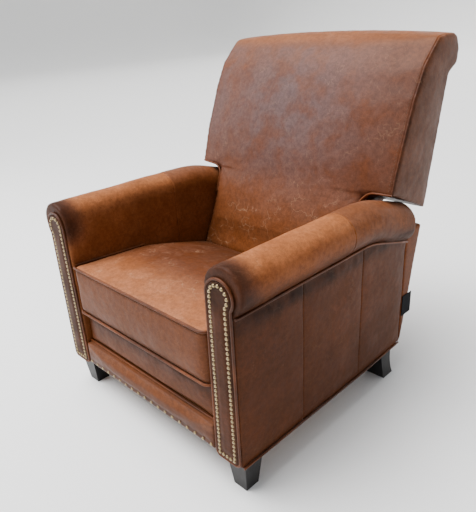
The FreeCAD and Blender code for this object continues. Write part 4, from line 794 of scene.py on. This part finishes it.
FRONT_PROFILE = ((50, 262), (47, 346), (149, 603), (183, 714), (233, 841), (288, 926), (348, 1000))
HOLLOW = ((-255 * MM, 180 * MM, 262 * MM), (255 * MM, 228 * MM, 262 * MM + 2 * BACK_VOXEL))
back_leather = leather("waxed_sheepskin_back", deep_share=0.3, tan_share=0.12, gloss=0.12)
back = soft_copy("back_cover_soft", ["back_cushion", "back_cover", "outside_back"], BACK_VOXEL, [HOLLOW])
low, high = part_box("back_cover")
profile_y, profile_z = np.array(FRONT_PROFILE).T * MM
spots, out = places(back), normals(back)
side = np.abs(spots[:, 0])
# wings join the stem in a round inner corner
under = (out[:, 2] < -0.5) & (side > STEM_HALF - 3 * MM) & (spots[:, 2] > WING_FOOT - 100 * MM)
reach = np.clip(STEM_HALF + WING_CORNER - side, 0, WING_CORNER)
drop = WING_CORNER - np.sqrt(np.maximum(WING_CORNER ** 2 - reach ** 2, 0))
spots[:, 2] -= np.where(under, drop, 0) * ramp(-spots[:, 1], -SHELL_CLEAR_Y, -SHELL_CLEAR_Y + 50 * MM)
# the top falls a little towards both ends, and the front is crowned
spots[:, 2] -= TOP_FALL * (side / high.x) ** 2 * ramp(spots[:, 2], 850 * MM, 990 * MM)
width = np.where(spots[:, 2] > WING_FOOT, high.x, STEM_HALF)
crown = (1 - np.clip(side / width, 0, 1) ** 2.5) * ramp(spots[:, 2], 390 * MM, 520 * MM)
crown *= 1 - ramp(spots[:, 2], 900 * MM, 1000 * MM)
spots[:, 1] -= BACK_CROWN * crown * ramp(-out[:, 1], 0.2, 0.7)
# the head is stuffed firmly, so that it stays forward until it rolls over
head = np.exp(-((spots[:, 2] - HEAD_Z) / HEAD_SPREAD) ** 2)
spots[:, 1] -= HEAD_FILL * head * ramp(-out[:, 1], 0.0, 0.5)
put(back, spots)
ease(back, 4, np.where((spots[:, 1] > SHELL_CLEAR_Y) & (spots[:, 2] < 590 * MM), 0.05, 1.0))
spots, out = places(back), normals(back)
side = np.abs(spots[:, 0])
near_front = spots[:, 1] < np.interp(spots[:, 2], profile_z, profile_y) + 16 * MM
on_edge = (side > BOXING_SEAM - 4 * MM) & near_front & (spots[:, 2] > WING_FOOT)
still = (spots[:, 2] < 300 * MM) | (out[:, 1] > 0.4) | on_edge | (out[:, 2] < -0.5)
reach = (BACK_TRAVEL * ramp(-out[:, 1], 0.2, 0.8) * ramp(spots[:, 2], 380 * MM, 480 * MM)
         + BOXING_TRAVEL * ramp(np.abs(out[:, 0]), 0.4, 0.9) * (side > 330 * MM) + LEAST_TRAVEL)
plump(back, np.where(still, 1.0, 0.0), reach)
finer(back)
uneven(back, *BACK_WAVE, ramp(-normals(back)[:, 1], 0.1, 0.6))
uneven(back, *BACK_RIPPLE)
for sign in (1, -1):
    seam(back, (sign * BOXING_SEAM, 0, 0), (1, 0, 0),
         lambda s: (s[:, 0] * sign > 340 * MM) & (s[:, 2] > WING_FOOT - 4 * MM)
         & (s[:, 1] < np.interp(s[:, 2], profile_z, profile_y) + 22 * MM
            + 60 * MM * ramp(s[:, 2], 930 * MM, 1000 * MM)))
spots, out = places(back), normals(back)
side, height = np.abs(spots[:, 0]), spots[:, 2]
boxing = ramp(side, 366 * MM, 374 * MM)
face = ramp(-out[:, 1], 0.1, 0.6)
# The bloom across the middle of the front, more at the sitter's right wing and above the arms, is wax
# bloom and painted sheen.
bloom_and_sheen = (0.85 * np.exp(-((spots[:, 0] - BLOOM_AND_SHEEN_X) / BLOOM_AND_SHEEN_WIDE) ** 2
                       - ((height - BLOOM_AND_SHEEN_Z) / BLOOM_AND_SHEEN_HIGH) ** 2)
         + 0.3 * ramp(-spots[:, 0], 240 * MM, 340 * MM) * ramp(height, 560 * MM, 700 * MM)
         + 0.22 * ramp(height, 430 * MM, 620 * MM))
crest = ramp(height, 955 * MM, 990 * MM)
# Painted shade darkens the boxing, the faces that do not face forward, the undersides and the front
# towards the side away from the light; the tan on the crest, the boxing, the lowest front and the head is
# wear and painted highlight.
mark(back, "dark", 0.7 * boxing * (height > 520 * MM) + 0.25 * (1 - face) * (1 - crest) * (1 - boxing)
     + 0.9 * (out[:, 2] < -0.6) + face * (0.2 + 0.25 * ramp(spots[:, 0], 180 * MM, 330 * MM)))
mark(back, "bloom_and_sheen", face * bloom_and_sheen * (1 - 0.8 * crest))
mark(back, "wear_and_highlight", 0.5 * crest + 0.12 * boxing
     + 0.2 * face * (ramp(-height, -660 * MM, -520 * MM) + ramp(height, 880 * MM, 930 * MM)))
mark(back, "crease", face * (0.7 * ramp(-height, -620 * MM, -480 * MM) + 0.12))
alone(back)
bpy.ops.object.shade_smooth()
back.data.materials.append(back_leather)
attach(back, "back")
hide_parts("back_cushion", "back_cover", "outside_back")

STITCH_PITCH, STITCH_LENGTH, THREAD = 9 * MM, 6 * MM, 0.8 * MM
BOXING_STITCH_X, SEAT_STITCH_DROP, STITCH_SEARCH = 361 * MM, 8 * MM, (12 * MM, 6 * MM)
THREAD_DARK, THREAD_LIGHT, PLY = "#2c170c", "#6b452b", 1.5 * MM
# Waxed thread: dark brown, its twisted plies a little lighter where they are worn.
waxed_thread, tree, shader, place = material_tree("waxed_thread", Roughness=0.6, Specular_IOR_Level=0.3)
plies = add(tree, "ShaderNodeTexNoise", {"Vector": place, "Scale": 1 / PLY, "Detail": 2.0})
twist = add(tree, "ShaderNodeMix", {0: plies.outputs[0], 6: linear(THREAD_DARK), 7: linear(THREAD_LIGHT)},
            data_type="RGBA")
tree.links.new(twist.outputs[2], shader.inputs["Base Color"])


def topstitch(name, cover, route, body):
    """Sews a line of stitches on a cover, as near as it comes to a route of points."""
    route = [Vector(point) for point in route]
    runs = [(second - first).length for first, second in zip(route[:-1], route[1:])]
    count = int(sum(runs) / STITCH_PITCH)
    spots = []
    for step in range(count + 1):
        left = sum(runs) * step / count
        for first, second, run in zip(route[:-1], route[1:], runs):
            if left <= run + 1e-9:
                break
            left -= run
        spots.append(cover.closest_point_on_mesh(first + (second - first) * min(left / run, 1.0))[1:3])
    bpy.ops.object.select_all(action="DESELECT")
    bpy.ops.mesh.primitive_uv_sphere_add(segments=6, ring_count=4, radius=THREAD, location=(0, 0, 0))
    one = bpy.context.object
    stitches = []
    for (spot, way), (after, _) in zip(spots[:-1], spots[1:]):
        stitch = bpy.data.objects.new(name, one.data.copy())
        bpy.context.scene.collection.objects.link(stitch)
        turn = (after - spot).to_track_quat("Z", "Y")
        for vertex in stitch.data.vertices:
            along = vertex.co * Vector((1, 1, STITCH_LENGTH / (2 * THREAD)))
            vertex.co = turn @ along + (spot + after) / 2 + way * 0.3 * THREAD
        stitches.append(stitch)
    bpy.data.objects.remove(one)
    bpy.ops.object.select_all(action="DESELECT")
    for stitch in stitches:
        stitch.select_set(True)
    bpy.context.view_layer.objects.active = stitches[0]
    bpy.ops.object.join()
    line = bpy.context.object
    line.name = name
    bpy.ops.object.shade_smooth()
    line.data.materials.append(waxed_thread)
    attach(line, body)


for side, sign in (("left", 1), ("right", -1)):
    topstitch(f"boxing_stitches_{side}", back,
              [(sign * BOXING_STITCH_X,
                float(np.interp(z * MM, profile_z, profile_y)) - STITCH_SEARCH[0], z * MM)
               for z in range(612, 961, 12)], "back")
for name, line, rise in (("seat_top_stitches", top_line, -SEAT_STITCH_DROP),
                         ("seat_bottom_stitches", bottom_line, SEAT_STITCH_DROP)):
    steps = (Vector(line[1]).lerp(Vector(line[2]), share) for share in np.linspace(0.04, 0.96, 40))
    topstitch(name, seat, [(x, y - STITCH_SEARCH[1], z + rise) for x, y, z in steps],
              "seat")

# A self welt runs in from each side seam under the wing's front edge, round the corner and down
# the stem's edge behind the arm.
WELT_RADIUS, WELT_OUT, WELT_Z = 3 * MM, 1.5 * MM, 603 * MM
corner_x, corner_z = STEM_HALF + WING_CORNER, WELT_Z - WING_CORNER
for side, sign in (("left", 1), ("right", -1)):
    route = [(x * MM, WELT_Z) for x in (371, 358, 343)]
    route += [(corner_x - WING_CORNER * math.sin(a), corner_z + WING_CORNER * math.cos(a))
              for a in np.radians((0, 20, 40, 60, 80))]
    route += [(STEM_HALF, 540 * MM), (STEM_HALF, 515 * MM)]
    line = bpy.data.curves.new(f"wing_welt_{side}", "CURVE")
    line.dimensions = "3D"
    line.bevel_depth = WELT_RADIUS
    line.bevel_resolution = 3
    line.use_fill_caps = True
    spline = line.splines.new("NURBS")
    spline.points.add(len(route) - 1)
    for point, (x, z) in zip(spline.points, route):
        y = float(np.interp(z, profile_z, profile_y))
        spot, way = back.closest_point_on_mesh(Vector((sign * x, y, z)))[1:3]
        point.co = (*(spot + way * WELT_OUT), 1)
    spline.order_u = 3
    spline.use_endpoint_u = True
    welt = bpy.data.objects.new(f"wing_welt_{side}", line)
    bpy.context.scene.collection.objects.link(welt)
    alone(welt)
    bpy.ops.object.convert(target="MESH")
    welt = bpy.context.object
    bpy.ops.object.shade_smooth()
    welt.data.materials.append(welt_leather)
    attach(welt, "back")
    if side == "left":
        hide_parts("wing_piping")
